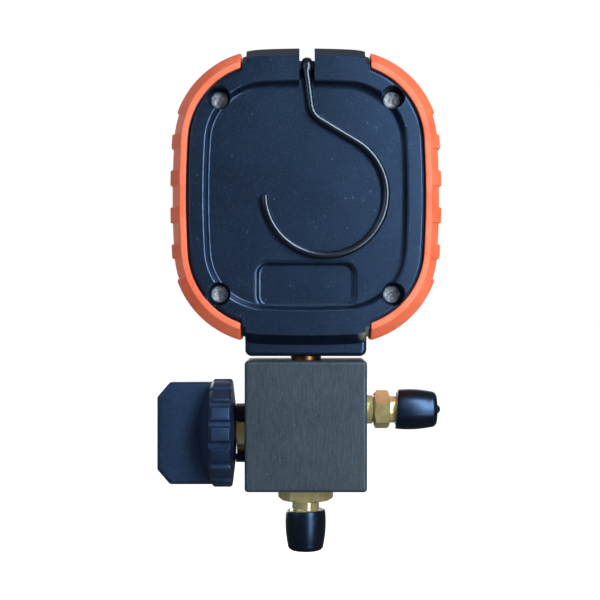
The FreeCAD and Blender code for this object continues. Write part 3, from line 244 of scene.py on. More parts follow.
def mouldedPlastic(name, dark, light, roughness, grainSize, worn=0.0, cloudSize=45.0, relief=0.35, paintedGlint=None,
                   **constants):
    # Moulded plastic or rubber: clouds between two tones, a fine grain whose tops are painted lighter as painted
    # glints, and where worn a little dust and scuffs
    p = plasticLook
    dark, light, paintedGlint = colour(dark), colour(light), colour(paintedGlint or light)
    made, tree, shader, place = startMaterial(name, dark, roughness[0], **constants)
    cloud, _ = useGroup(tree, place, "clouds", Size=cloudSize)
    speckle, grain = useGroup(tree, place, "grain", Size=grainSize)
    tone = mixColour(tree, cloud, p["clouds"], dark, light)
    # Painted glints: the grain's sharpened tops take a lighter colour, standing in for sparkle of light
    tone = mixColour(tree, speckle, p["paintedGlints"], tone, paintedGlint)
    gloss = mathNode(tree, "ADD", mathNode(tree, "MULTIPLY", speckle, p["grainInGloss"]),
                     mathNode(tree, "MULTIPLY", cloud, p["cloudsInGloss"]))
    if worn:
        specks, _ = useGroup(tree, place, "dust", Size=p["dustSize"], Share=p["dustShare"])
        scratches, _ = useGroup(tree, place, "scuffs", Size=p["scuffSize"], Width=p["scuffWidth"])
        tone = mixColour(tree, specks, worn, tone, colour(p["dust"]))
        tone = mixColour(tree, scratches, worn * p["scuffs"], tone, colour(p["scuff"]))
    finishSurface(tree, shader, tone, rangeOf(tree, gloss, *roughness), grain, relief, p["depth"])
    return made


def machinedMetal(name, dark, light, roughness, grainSize=1400.0, metallic=1.0, cloudSize=140.0, marks=0.1,
                  depth=0.00005):
    # Turned or rolled metal: tarnish in clouds between two tones, fine tool marks in the roughness and the normal
    made, tree, shader, place = startMaterial(name, colour(light), roughness[0], metallic)
    tarnish, _ = useGroup(tree, place, "clouds", Size=cloudSize)
    speckle, grain = useGroup(tree, place, "grain", Size=grainSize)
    tone = mixColour(tree, tarnish, 1.0, colour(light), colour(dark))
    finishSurface(tree, shader, tone, rangeOf(tree, speckle, *roughness), grain, marks, depth)
    return made


blockLook = {"base": (50, 60, 68), "dark": (36, 47, 58), "light": (62, 76, 88), "paintedGlint": (78, 96, 110),
             "dust": (150, 160, 165), "metallic": 0.4, "roughness": (0.38, 0.48), "turn": (0.0, 0.0, 0.6),
             "brushSize": 2600.0, "stretch": 0.12, "cloudSize": 60.0, "dustSize": 900.0, "dustShare": 0.04,
             "grainSize": 1900.0, "paintedGlints": 0.35, "specks": 0.4, "scratches": 0.35, "depth": 0.00006}


def anodisedBlock():
    # Dark anodised aluminium, brushed along Z, with dust, a few scratches and painted glints, a lighter colour on the
    # grain's tops
    b = blockLook
    made, tree, shader, place = startMaterial("anodisedBlock", colour(b["base"]), b["roughness"][0], b["metallic"],
                                              b["turn"])
    bands, scratches = useGroup(tree, place, "brush", Size=b["brushSize"], Stretch=b["stretch"])
    cloud, _ = useGroup(tree, place, "clouds", Size=b["cloudSize"])
    specks, _ = useGroup(tree, place, "dust", Size=b["dustSize"], Share=b["dustShare"])
    speckle, _ = useGroup(tree, place, "grain", Size=b["grainSize"])
    tone = mixColour(tree, bands, 1.0, colour(b["dark"]), colour(b["light"]))
    # Painted glints: the grain's sharpened tops take a lighter colour, standing in for sparkle of light
    tone = mixColour(tree, speckle, b["paintedGlints"], tone, colour(b["paintedGlint"]))
    tone = mixColour(tree, specks, b["specks"], tone, colour(b["dust"]))
    finishSurface(tree, shader, tone, rangeOf(tree, cloud, *b["roughness"]), scratches, b["scratches"], b["depth"])
    return made


lensLook = {"index": 1.49, "roughness": (0.01, 0.04), "cloudSize": 55.0}


def clearLens():
    # Clear plastic; light on its way to the dial passes straight through
    made, tree, shader, place = startMaterial("clearLens", (1.0, 1.0, 1.0, 1.0), lensLook["roughness"][0],
                                              Transmission_Weight=1.0, IOR=lensLook["index"])
    cloud, _ = useGroup(tree, place, "clouds", Size=lensLook["cloudSize"])
    setNode(tree, shader, Roughness=rangeOf(tree, cloud, *lensLook["roughness"]))
    shadow = newNode(tree, "ShaderNodeLightPath").outputs["Is Shadow Ray"]
    through = newNode(tree, "ShaderNodeBsdfTransparent").outputs[0]
    setNode(tree, tree.nodes["Material Output"], mixShaders(tree, shadow, shader.outputs[0], through))
    return made


blueSheen = (0.26, 0.5, 1.0, 1.0)
paleSheen = (0.55, 0.75, 1.0, 1.0)
finish = {
    # The lighter third colours of the case and the knob are painted glints on their grain
    "case": mouldedPlastic("casePlastic", (3, 5, 10), (6, 10, 19), (0.3, 0.4), 1900.0, 0.3,
                           paintedGlint=(42, 58, 87), Specular_Tint=blueSheen, Specular_IOR_Level=1.0, IOR=1.6,
                           Coat_Weight=0.2, Coat_Roughness=0.14),
    "knob": mouldedPlastic("knobPlastic", (12, 20, 36), (20, 31, 54), (0.4, 0.52), 1900.0, 0.2,
                           paintedGlint=(48, 68, 102), Specular_Tint=blueSheen, Specular_IOR_Level=1.0, IOR=1.6),
    "boot": mouldedPlastic("bootRubber", (222, 94, 55), (236, 120, 82), (0.5, 0.6), 1500.0,
                           cloudSize=60.0, Specular_Tint=(0.62, 0.78, 1.0, 1.0), Specular_IOR_Level=0.5),
    "cap": mouldedPlastic("dippedVinyl", (5, 7, 10), (9, 12, 17), (0.3, 0.38), 500.0,
                          relief=0.06, Specular_Tint=(0.28, 0.52, 1.0, 1.0), Specular_IOR_Level=1.0),
    "wire": mouldedPlastic("lacqueredWire", (3, 4, 7), (6, 8, 12), (0.27, 0.33), 900.0,
                           relief=0.04, Specular_Tint=paleSheen, Specular_IOR_Level=0.8, IOR=1.7),
    "bezel": mouldedPlastic("bezelPlastic", (14, 20, 32), (20, 27, 42), (0.35, 0.5), 1700.0, 0.1,
                            Specular_Tint=blueSheen),
    "snapRing": mouldedPlastic("snapRing", (8, 11, 18), (13, 18, 28), (0.38, 0.5), 1500.0,
                               Specular_Tint=blueSheen),
    "gasket": mouldedPlastic("gasketRubber", (18, 18, 20), (28, 28, 30), (0.6, 0.75), 1500.0),
    "seal": mouldedPlastic("sealPlastic", (205, 203, 196), (222, 220, 214), (0.4, 0.55), 1500.0),
    "dial": mouldedPlastic("dialPaint", (228, 228, 222), (238, 238, 234), (0.5, 0.62), 900.0, relief=0.1),
    "ink": mouldedPlastic("dialInk", (16, 16, 18), (26, 26, 28), (0.5, 0.6), 900.0, relief=0.1),
    "redInk": mouldedPlastic("redInk", (170, 28, 24), (186, 36, 30), (0.5, 0.6), 900.0, relief=0.1),
    "pointer": mouldedPlastic("pointerPaint", (14, 14, 16), (24, 24, 26), (0.4, 0.5), 1500.0),
    "brass": machinedMetal("turnedBrass", (206, 194, 132), (248, 238, 186), (0.1, 0.18), metallic=0.72),
    # Darker, redder brass: painted shade and a painted reflection of the orange bumpers, as on the socket seen in the
    # gap above the block
    "shadedBrass": machinedMetal("brassPaintedShade", (104, 60, 40), (160, 114, 68), (0.3, 0.45)),
    "bronze": machinedMetal("tubeBronze", (128, 84, 46), (186, 132, 82), (0.25, 0.4)),
    # Near-white matte colour with no metal: painted brightness that makes up for the wells' shade and stands in for
    # the heads' silver reflections
    "screw": machinedMetal("zincScrew", (150, 166, 188), (246, 251, 255), (0.24, 0.4), 2400.0,
                           metallic=0.0, cloudSize=700.0),
    "steel": machinedMetal("groundSteel", (130, 132, 136), (180, 182, 186), (0.2, 0.35)),
    "block": anodisedBlock(),
    "lens": clearLens(),
}
nodesWith = {
    "case": "case_body back_cover", "boot": "bumper_left bumper_right", "wire": "hook hook_pin", "knob": "knob",
    "cap": "side_cap bottom_cap", "block": "manifold_block", "bezel": "bezel_ring", "lens": "lens",
    "dial": "dial_plate", "pointer": "pointer", "snapRing": "bonnet_ring", "gasket": "lens_gasket piston_oring",
    "seal": "stem_seal side_seal bottom_seal stem_packing piston_seal", "steel": "pinion_shaft valve_stem",
    "screw": "cover_screws dial_screws movement_screws socket_screws", "bronze": "bourdon_tube hairspring",
    "brass": "side_fitting bottom_fitting valve_bonnet valve_piston",
    "shadedBrass": "sector_gear link tube_tip gauge_socket movement_front_plate movement_rear_plate movement_pillars",
}
for finishName, nodeNames in nodesWith.items():
    for nodeName in nodeNames.split():
        for place in frame["nodes"][nodeName].material_slots:
            place.material = finish[finishName]
print("finishes assigned")


# Surfaces: each piece is worked out as rings of points, in millimetres

def shell(rings, ends="pole"):
    # Faces between neighbouring rings. "pole" draws the first and last ring together into a point,
    # "face" closes both ends flat, "loop" joins the last ring to the first
    poles = rings[[0, -1]].mean(1)
    if ends == "pole":
        rings = rings[1:-1]
    rows, sides = rings.shape[:2]
    index = np.arange(rows * sides).reshape(rows, sides)
    after = np.roll(index, -1, 1)
    last = rows if ends == "loop" else rows - 1
    quads = np.stack([index, after, np.roll(after, -1, 0), np.roll(index, -1, 0)], -1)[:last].reshape(-1, 4)
    points = rings.reshape(-1, 3)
    if ends == "loop":
        return points, [quads]
    if ends == "face":
        return points, [quads, index[:1, ::-1], index[-1:]]
    low = np.full(sides, rows * sides)
    fans = [np.stack([after[0], index[0], low], -1), np.stack([index[-1], after[-1], low + 1], -1)]
    return np.concatenate([points, poles]), [quads, *fans]


def makePiece(name, shells, body, finishName, replaced=(), sharp=32):
    # Puts the shells into one mesh, turns its faces outwards and keeps edges sharper than the angle. A piece given no
    # body is left unattached.
    points, faces, start = [], [], 0
    for shellPoints, faceArrays in shells:
        points.append(shellPoints)
        for array in faceArrays:
            faces += (array + start).tolist()
        start += len(shellPoints)
    mesh = bpy.data.meshes.new(name)
    mesh.from_pydata((np.concatenate(points) * mm).tolist(), [], faces)
    turned = bmesh.new()
    turned.from_mesh(mesh)
    bmesh.ops.recalc_face_normals(turned, faces=turned.faces)
    turned.to_mesh(mesh)
    turned.free()
    mesh.shade_smooth()
    mesh.set_sharp_from_angle(angle=math.radians(sharp))
    mesh.materials.append(finish[finishName])
    piece = bpy.data.objects.new(name, mesh)
    scene.collection.objects.link(piece)
    if body:
        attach(piece, body)
    if replaced:
        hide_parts(*replaced)
    return piece


def roundCorners(corners, radii, steps=6):
    # Each corner becomes an arc: its centre stands off both sides by the radius, and its points turn
    # evenly from one side's touching point to the other's. A radius of 0 keeps the corner.
    corners = np.array(corners, float)
    radii = np.broadcast_to(np.array(radii, float), len(corners))[:, None]
    before = np.roll(corners, 1, 0) - corners
    after = np.roll(corners, -1, 0) - corners
    before /= np.maximum(np.linalg.norm(before, axis=1, keepdims=True), 1e-9)
    after /= np.maximum(np.linalg.norm(after, axis=1, keepdims=True), 1e-9)
    half = np.arccos(np.clip((before * after).sum(1, keepdims=True), -0.999999, 0.999999)) / 2
    between = (before + after) / np.maximum(np.linalg.norm(before + after, axis=1, keepdims=True), 1e-9)
    centre = corners + between * radii / np.sin(half)
    first = corners + before * radii / np.tan(half) - centre
    second = corners + after * radii / np.tan(half) - centre
    turn = math.pi - 2 * half[:, None]
    share = np.linspace(0, 1, steps)[None, :, None]
    arcs = (np.sin((1 - share) * turn) * first[:, None] + np.sin(share * turn) * second[:, None]) / np.sin(turn)
    points = (centre[:, None] + arcs).reshape(-1, 2)
    apart = np.linalg.norm(np.diff(points, axis=0, prepend=points[-1:]), axis=1)
    return points[(apart > 1e-6) | (np.arange(len(points)) == 0)]


def evenTurns(sides):
    return np.linspace(0, 2 * math.pi, sides, endpoint=False)


def turnedRings(radius, along, foot, way, side, turns):
    # foot + along * way + radius * (cosine of the turn * side + sine of the turn * across)
    way, side = np.array(way, float), np.array(side, float)
    outwards = np.cos(turns)[:, None] * side + np.sin(turns)[:, None] * np.cross(way, side)
    return np.array(foot, float) + along[..., None] * way + radius[..., None] * outwards


def spread(rows, sides):
    # Rows of (radius, along) pairs, the same all the way round
    rows = np.asarray(rows, float)
    return [np.repeat(rows[:, k:k + 1], sides, 1) for k in (0, 1)]


def turnedShell(rows, sides, foot, way, side, ends="pole"):
    # Rows of (radius, along) pairs turned once round
    return shell(turnedRings(*spread(rows, sides), foot, way, side, evenTurns(sides)), ends)


def carried(radius, turns, levels, x=0.0, z=0.0):
    # Points at a radius and turn round a point in x and z, at levels in y
    flat = x + radius * np.cos(turns)
    return np.stack([flat, np.broadcast_to(levels, flat.shape), z + radius * np.sin(turns)], -1)


def smooth(value):
    # 3 v squared - 2 v cubed: from 0 to 1 with a level start and end
    value = np.clip(value, 0, 1)
    return value * value * (3 - 2 * value)


# Orange bumpers. The rounds belong to the section's corners, in order.

bumper = {"gap": 1.0, "face": 3.1, "out": 6.9, "front": -14.5, "back": 17.0, "slope": 6.8, "lip": 2.1, "wall": 2.9,
          "endX": 22.4, "pitch": 12.63, "length": 7.3, "depth": 0.8, "count": 5, "crease": 0.45, "endRound": 0.45,
          "rounds": (0.45, 0.7, 1.6, 1.6, 0.7, 0.45, 0.15, 0.15, 0.15, 0.15), "fadeIn": 0.3, "skin": 0.05,
          "endShares": (0, 0.003, 0.008, 0.016), "endInsets": (1, 0.5, 0.18, 0.03), "stations": 130}
caseOutline = {"cornerX": 13.637, "cornerZ": 18.1836, "corner": 26.0, "bow": 320.0, "halfWidth": 40.2,
               "halfHeight": 44.5, "middleZ": 120.55}
middle = (0, 0, caseOutline["middleZ"])


def grooveAt(z):
    # 1 inside each groove and 0 beyond it, with creased flanks, for grooves evenly spaced about the middle
    b = bumper
    span = b["pitch"] * b["count"] / 2
    away = np.abs((z + span) % b["pitch"] - b["pitch"] / 2)
    return smooth((b["length"] / 2 - away) / b["crease"] + 0.5) * (np.abs(z) < span)


def bumperRings(mirrored):
    # A closed section carried round the corner arc, the bowed side and the other corner arc. Its sides
    # stand off the case's outline by each section point's own offset, less the depth of the grooves.
    b, o = bumper, caseOutline
    front, back = b["front"], b["back"]
    section = roundCorners(
        [(b["gap"], front), (b["face"], front), (b["out"], front + b["slope"]), (b["out"], back - b["slope"]),
         (b["face"], back), (b["gap"], back), (b["gap"], back - b["lip"]), (b["wall"], back - b["lip"]),
         (b["wall"], front + b["lip"]), (b["gap"], front + b["lip"])], b["rounds"])
    offset, level = section[:, 0], section[:, 1]
    step = np.roll(section, -1, 0) - np.roll(section, 1, 0)
    inward = np.stack([-step[:, 1], step[:, 0]], -1) / np.linalg.norm(step, axis=1, keepdims=True)
    sideX = o["halfWidth"] - o["bow"]
    sideTilt = math.atan2(o["cornerZ"], o["cornerX"] - sideX)
    share = np.concatenate([b["endShares"], np.linspace(0.03, 1, b["stations"])])[:, None]
    inset = np.zeros((len(share), 1))
    inset[:len(b["endInsets"]), 0] = b["endRound"] * np.array(b["endInsets"])
    offsets, levels = offset + inset * inward[:, 0], level + inset * inward[:, 1]
    start = np.arccos((b["endX"] - o["cornerX"]) / (o["corner"] + offsets))
    cornerTurn = start + share * (sideTilt - start)
    sideTurn = np.linspace(sideTilt, -sideTilt, b["stations"])[1:-1, None]
    rise = np.clip((offset - b["face"] + b["fadeIn"]) / (b["out"] - b["face"]), 0, 1)
    rise = rise * (offset > b["wall"] + b["skin"])
    cornerGroove = grooveAt(o["cornerZ"] + (o["corner"] + b["out"]) * np.sin(cornerTurn))
    sideGroove = grooveAt(o["bow"] * np.sin(sideTurn))
    corner = carried(o["corner"] + (offsets - b["depth"] * rise * cornerGroove), cornerTurn, levels,
                     o["cornerX"], o["cornerZ"])
    side = carried(o["bow"] + (offset - b["depth"] * rise * sideGroove), sideTurn, level, sideX)
    rings = np.concatenate([corner, side, corner[::-1] * (1, 1, -1)])
    return rings * (-1 if mirrored else 1, 1, 1) + middle


for bumperName, mirrored in (("bumper_right", False), ("bumper_left", True)):
    makePiece(bumperName + "_dressed", [shell(bumperRings(mirrored), "face")], "housing", "boot",
              [bumperName], 40)
print("bumpers made")


# Pocket lining

pocket = {"halfWidth": 17.6, "low": 81.55, "height": 16.6, "corner": 4.5, "floor": 12.8, "top": 13.995, "run": 2.1,
          "tilt": 62.0, "rows": 9, "lift": 0.01, "below": 0.15, "backRun": 0.02}


def pocketRings():
    # An S: an arc bends down from the cover's face by the tilt and a second bends back to the pocket's floor.
    # The curve is carried round the pocket's rounded rectangle, drawn in by how far it has come.
    p = pocket
    turns = np.radians(np.linspace(0, p["tilt"], p["rows"]))
    run, drop = np.sin(turns), 1 - np.cos(turns)
    run, drop = [np.concatenate([half, 2 * half[-1] - half[-2::-1]]) for half in (run, drop)]
    insets = np.concatenate([run / run[-1] * p["run"], [p["run"], p["backRun"]]])
    levels = p["top"] - drop / drop[-1] * (p["top"] - p["floor"] - p["lift"])
    levels = np.concatenate([levels, [p["floor"] - p["below"]] * 2])
    headings = np.radians(np.linspace(0, 90, 13) + 90 * np.arange(4)[:, None])
    signs = np.array([(1, 1), (-1, 1), (-1, -1), (1, -1)])
    centres = np.repeat(signs * (p["halfWidth"] - p["corner"], p["height"] / 2 - p["corner"]), 13, 0)
    return carried((p["corner"] - insets)[:, None], headings.reshape(-1), levels[:, None],
                   centres[:, 0], p["low"] + p["height"] / 2 + centres[:, 1])


makePiece("pocket_lining", [shell(pocketRings(), "loop")], "housing", "case", (), 60)
print("pocket lined")


# Recess lining, in strips between the screw wells and the hook's notch

lining = {"start": -4.65, "top": 16.995, "floor": 14.004, "mouth": 0.9, "foot": 1.1, "topFoot": 2.0, "tilt": 74.0,
          "below": 13.85, "notchX": -0.4, "notchHalf": 2.64, "wellX": 30.0, "wellZ": 33.8, "wellTurn": 43.65,
          "clear": 4.14, "stations": 90, "search": 4000}


def outlineStations(firstTurn, lastTurn, count):
    # Points of the case's outline and the outward headings there, from one turn about the case's middle to
    # another: each point lies on a bowed side, a bowed end or a corner's arc
    o = caseOutline
    turns = np.linspace(firstTurn, lastTurn, count)
    heading = np.stack([np.cos(turns), np.sin(turns)], -1)
    sideX, endZ = o["halfWidth"] - o["bow"], o["halfHeight"] - o["bow"]
    lean = np.arctan2(np.abs(heading[:, 1]), np.abs(heading[:, 0]))[:, None]
    onSide = lean < math.atan2(o["cornerZ"], o["cornerX"] - sideX)
    onEnd = lean > math.atan2(o["cornerZ"] - endZ, o["cornerX"])
    signs = np.where(heading < 0, -1.0, 1.0)
    centre = np.where(onSide, signs * (sideX, 0.0),
                      np.where(onEnd, signs * (0.0, endZ), signs * (o["cornerX"], o["cornerZ"])))
    return centre + np.where(onSide | onEnd, o["bow"], o["corner"]) * heading, heading


def recessRings(firstTurn, lastTurn, foot):
    # An S of two arcs and a straight slope, closed beneath, set off from the outline along its headings. Each
    # of its lines runs from the first place clear of a well or the notch to the last.
    s = lining
    bend = np.radians(np.linspace(0, s["tilt"], 8))
    mouthRun, mouthDrop = s["mouth"] * np.sin(bend), s["mouth"] * (1 - np.cos(bend))
    footRun, footDrop = foot * np.sin(bend), foot * (1 - np.cos(bend))
    slope = (s["top"] - s["floor"] - mouthDrop[-1] - footDrop[-1]) / math.sin(bend[-1])
    run = mouthRun[-1] + slope * math.cos(bend[-1]) + footRun[-1]
    offsets = s["start"] - np.concatenate([mouthRun, run - footRun[::-1], [run, 0.0]])
    levels = np.concatenate([s["top"] - mouthDrop, s["floor"] + footDrop[::-1], [s["below"], s["below"]]])
    points, headings = outlineStations(firstTurn, lastTurn, s["search"])
    lines = points[:, None] + offsets[None, :, None] * headings[:, None]
    clear = np.linalg.norm(np.abs(lines) - (s["wellX"], s["wellZ"]), axis=2) > s["clear"]
    clear &= (np.abs(lines[..., 0] - s["notchX"]) > s["notchHalf"]) | (lines[..., 1] < 0)
    first = np.argmax(clear, 0)
    last = len(points) - 1 - np.argmax(clear[::-1], 0)
    stations = np.rint(first + np.linspace(0, 1, s["stations"])[:, None] * (last - first)).astype(int)
    chosen = lines[stations, np.arange(len(offsets))]
    return np.stack([chosen[..., 0], np.broadcast_to(levels, chosen.shape[:2]), chosen[..., 1] + middle[2]], -1)


# Each strip's first turn, last turn and foot
wellTurn = math.radians(lining["wellTurn"])
strips = ((-wellTurn, wellTurn, "foot"), (math.pi - wellTurn, math.pi + wellTurn, "foot"),
          (wellTurn - math.pi, -wellTurn, "foot"), (wellTurn, math.pi / 2, "topFoot"),
          (math.pi / 2, math.pi - wellTurn, "topFoot"))
makePiece("recess_lining", [shell(recessRings(first, last, lining[foot]), "face") for first, last, foot in strips],
          "housing", "case", (), 60)
print("recess lined")


# Pressure tube. The two bend places in the table, in metres, are not used.

tube = {"radius": 26.0, "plane": 5.0, "width": 6.0, "thickness": 1.9, "start": 264.0, "end": -4.0, "stations": 140,
        "bendFrom": (0.0, 0.005, 0.12), "bendTo": (0.0245, 0.005, 0.12)}


def pressureTubeRings():
    # A flat strip with round edges, carried round a circle: radius + half thickness * cosine of the edge's turn,
    # and across the strip half the flat width + half thickness * sine of the turn
    t = tube
    half = t["thickness"] / 2
    edge = np.radians(np.linspace(0, 180, 9))
    outwards = half * np.concatenate([np.cos(edge), -np.cos(edge)])
    across = np.concatenate([np.sin(edge), -np.sin(edge)]) * half
    across += np.repeat([1.0, -1.0], 9) * (t["width"] / 2 - half)
    turns = np.radians(np.linspace(t["start"], t["end"], t["stations"]))[:, None]
    return carried(t["radius"] + outwards, turns, t["plane"] + across, 0.0, middle[2])


pressureTube = makePiece("bourdon_tube_dressed", [shell(pressureTubeRings(), "face")], None, "bronze",
                         ["bourdon_tube"], 50)
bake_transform(pressureTube)
print("pressure tube made")


# Hook

hook = {"x": -0.4, "y": 15.5, "pinY": 13.15, "pinZ": 164.75, "wire": 1.25, "drop": 1.4, "slant": 7.5, "bend": 10.0,
        "elbow": 6.5, "bowlX": -6.9, "bowlZ": 121.0, "bowl": 20.95, "lead": 31.0, "eyeBore": 1.1, "eyeOuter": 3.6,
        "eyeHalf": 1.8, "eyeRounds": (0.3, 1.5, 1.5, 0.3), "tipRound": 0.9, "tipTurn": 3.2, "tipShare": 0.35}


def arc(centre, radius, start, end, count):
    turns = np.radians(np.linspace(start, end, count))
    return np.stack([centre[0] + radius * np.cos(turns), centre[1] + radius * np.sin(turns)], -1)


def hookPath():
    # Shank, slanted run, elbow, straight run and bowl, as arcs that touch their neighbours, in x and z
    h = hook
    slant, lead = math.radians(h["slant"]), math.radians(h["lead"])
    bend = arc((h["x"] - h["bend"], h["pinZ"] - h["drop"]), h["bend"], 0, -h["slant"], 8)
    bowl = arc((h["bowlX"], h["bowlZ"]), h["bowl"], 90 + h["lead"], 360, 110)
    down = np.array([-math.sin(slant), -math.cos(slant)])
    along = -np.array([math.cos(lead), math.sin(lead)])
    run = bowl[0] - bend[-1]
    reach = (run[0] * along[1] - run[1] * along[0]) / (down[0] * along[1] - down[1] * along[0])
    corner = bend[-1] + down * reach
    half = math.acos(float(down @ along)) / 2
    back = h["elbow"] * math.tan(half)
    inward = (along - down) / np.linalg.norm(along - down)
    centre = corner + inward * h["elbow"] / math.cos(half)
    first, last = corner - down * back - centre, corner + along * back - centre
    share = np.linspace(0, 1, 24)[:, None]
    elbow = centre + (np.sin((1 - share) * 2 * half) * first + np.sin(share * 2 * half) * last) / math.sin(2 * half)
    share = np.linspace(0, 1, 12)[1:-1, None]
    slanted = bend[-1] + share * (elbow[0] - bend[-1])
    straight = elbow[-1] + share * (bowl[0] - elbow[-1])
    return np.concatenate([[(h["x"], h["pinZ"])], bend, slanted, elbow, straight, bowl])


def wireRings(path, radius, level, sides=28):
    # Round sections square to a path in the plane y = level, whose radius may change along it
    step = np.gradient(path, axis=0)
    step /= np.linalg.norm(step, axis=1, keepdims=True)
    across = np.stack([step[:, 1], np.zeros(len(path)), -step[:, 0]], -1)
    turns = evenTurns(sides)
    centre = np.stack([path[:, 0], np.full(len(path), level), path[:, 1]], -1)
    ring = np.cos(turns)[:, None] * np.array([0.0, 1.0, 0.0]) + np.sin(turns)[:, None] * across[:, None]
    return centre[:, None] + radius[:, None, None] * ring


def hookShells():
    # The wire, whose last stretch narrows as a quarter ellipse, and the pressed eye turned about the pin
    h = hook
    tip = arc((h["bowlX"], h["bowlZ"]), h["bowl"], 360 - h["tipTurn"], 360, 12)
    path = np.concatenate([hookPath()[:-2], tip])
    toEnd = np.cumsum(np.linalg.norm(np.diff(path[::-1], axis=0, prepend=path[-1:]), axis=1))[::-1]
    narrow = np.clip(1 - toEnd / h["tipRound"], 0, 1)
    radius = h["wire"] * (h["tipShare"] + (1 - h["tipShare"]) * np.sqrt(1 - narrow ** 2))
    section = roundCorners([(h["eyeBore"], -h["eyeHalf"]), (h["eyeOuter"], -h["eyeHalf"]),
                            (h["eyeOuter"], h["eyeHalf"]), (h["eyeBore"], h["eyeHalf"])], h["eyeRounds"], 10)
    eye = turnedShell(section, 72, (h["x"], h["pinY"], h["pinZ"]), (1, 0, 0), (0, 1, 0), "loop")
    return [shell(wireRings(path, radius, h["y"]), "face"), eye]


makePiece("hook_dressed", hookShells(), "hook", "wire", ["hook"], 50)
print("hook made")


# Cover screws

screw = {"places": ((-30.0, 154.35, 22), (30.0, 154.35, 64), (-30.0, 86.75, 48), (30.0, 86.75, 8)),
         "seat": 6.3, "shank": 1.23, "length": 10.0, "tip": 0.5, "tipLength": 0.8, "head": 3.0, "height": 2.2,
         "side": 1.2, "edge": 0.12, "arm": 0.36, "reach": 1.75, "recess": 1.6, "taper": 0.55, "flank": 0.22,
         "flankFrom": 0.35, "sides": 120}


def screwShell(x, z, spin):
    # A pan head: height falls with the third power of the radius. The cross is pressed in where a point
    # is inside either arm, deepest at the middle, with sloped flanks.
    s = screw
    turns = evenTurns(s["sides"])
    low = spread([(0, -s["length"]), (s["tip"], -s["length"]), (s["shank"], s["tipLength"] - s["length"]),
                  (s["shank"], 0), (s["head"] - s["edge"], 0), (s["head"], s["edge"]), (s["head"], s["side"])],
                 s["sides"])
    share = np.concatenate([np.linspace(0.985, 0.7, 14), np.linspace(0.68, 0.02, 42), [0.0]])
    radius = np.repeat(share[:, None] * s["head"], s["sides"], 1)
    dome = s["side"] + (s["height"] - s["side"]) * np.sqrt(np.clip(1 - share ** 3, 0, 1))[:, None]
    across, up = np.abs(radius * np.cos(turns)), np.abs(radius * np.sin(turns))
    inside = np.minimum(s["arm"] - np.minimum(across, up), s["reach"] - np.maximum(across, up))
    depth = s["recess"] * (1 - s["taper"] * radius / s["reach"]) * smooth(inside / s["flank"] + s["flankFrom"])
    grid = [np.concatenate(pair) for pair in zip(low, (radius, dome - depth))]
    return shell(turnedRings(*grid, (x, s["seat"], z), (0, 1, 0), (1, 0, 0), turns + math.radians(spin)))


makePiece("cover_screws_dressed", [screwShell(*place) for place in screw["places"]], "housing", "screw",
          ["cover_screws"], 40)
print("screws made")


# Knob

knob = {"z": 37.7, "start": 24.9, "disc": 19.05, "discStart": 25.9, "discEnd": 33.5, "hub": 10.5, "rimBevel": 1.3,
        "discRounds": (0, 0.5, 0.3, 0.4, 0.5, 0.5, 0), "discBevel": 0.5, "hubMargin": 1.0, "flutes": 16,
        "fluteDepth": 1.2, "fluteFloor": 0.6, "fluteMouth": 1.6, "phase": 3.4, "pointsPerFlute": 24, "dome": 17.3,
        "domeHeight": 4.7, "bore": 3.02, "boreEnd": 36.92, "bladeStart": 31.2, "bladeEnd": 52.4, "bladeHalf": 18.05,
        "bladeThick": 3.5, "cornerAlong": 4.5, "cornerRound": 5.2, "bladeRounds": (0, 1.4, 1.4, 1.4, 1.4, 0),
        "round": 1.6}


def knobDiscShell():
    # A turned profile whose radius is held down to the flutes' floor: across each flute the limit falls
    # from the disc's edge to the floor along straight flanks
    k = knob
    sides = k["flutes"] * k["pointsPerFlute"]
    turns = evenTurns(sides)
    pitch = 2 * math.pi / k["flutes"]
    away = np.abs((turns - math.radians(k["phase"])) % pitch - pitch / 2) * k["disc"]
    limit = k["disc"] - k["fluteDepth"] * smooth((k["fluteMouth"] - away) / (k["fluteMouth"] - k["fluteFloor"]))
    edge = roundCorners([(k["bore"], k["start"]), (k["hub"], k["start"]),
                         (k["disc"] - k["discBevel"], k["discStart"]), (k["disc"], k["discStart"] + k["discBevel"]),
                         (k["disc"], k["discEnd"] - k["rimBevel"]), (k["disc"] - k["rimBevel"], k["discEnd"]),
                         (k["dome"], k["discEnd"])], k["discRounds"])
    ball = (k["dome"] ** 2 + k["domeHeight"] ** 2) / 2 / k["domeHeight"]
    inward = np.linspace(1, 0, 26)[1:] * k["dome"]
    dome = np.stack([inward, k["discEnd"] + k["domeHeight"] - ball + np.sqrt(ball ** 2 - inward ** 2)], -1)
    rows = np.concatenate([[(0, k["boreEnd"]), (k["bore"], k["boreEnd"]), (k["bore"], k["start"])], edge[1:], dome])
    radius, along = spread(rows, sides)
    radius = np.where(radius > k["hub"] + k["hubMargin"], np.minimum(radius, limit), radius)
    return shell(turnedRings(radius, along, (0, 0, k["z"]), (1, 0, 0), (0, 1, 0), turns))


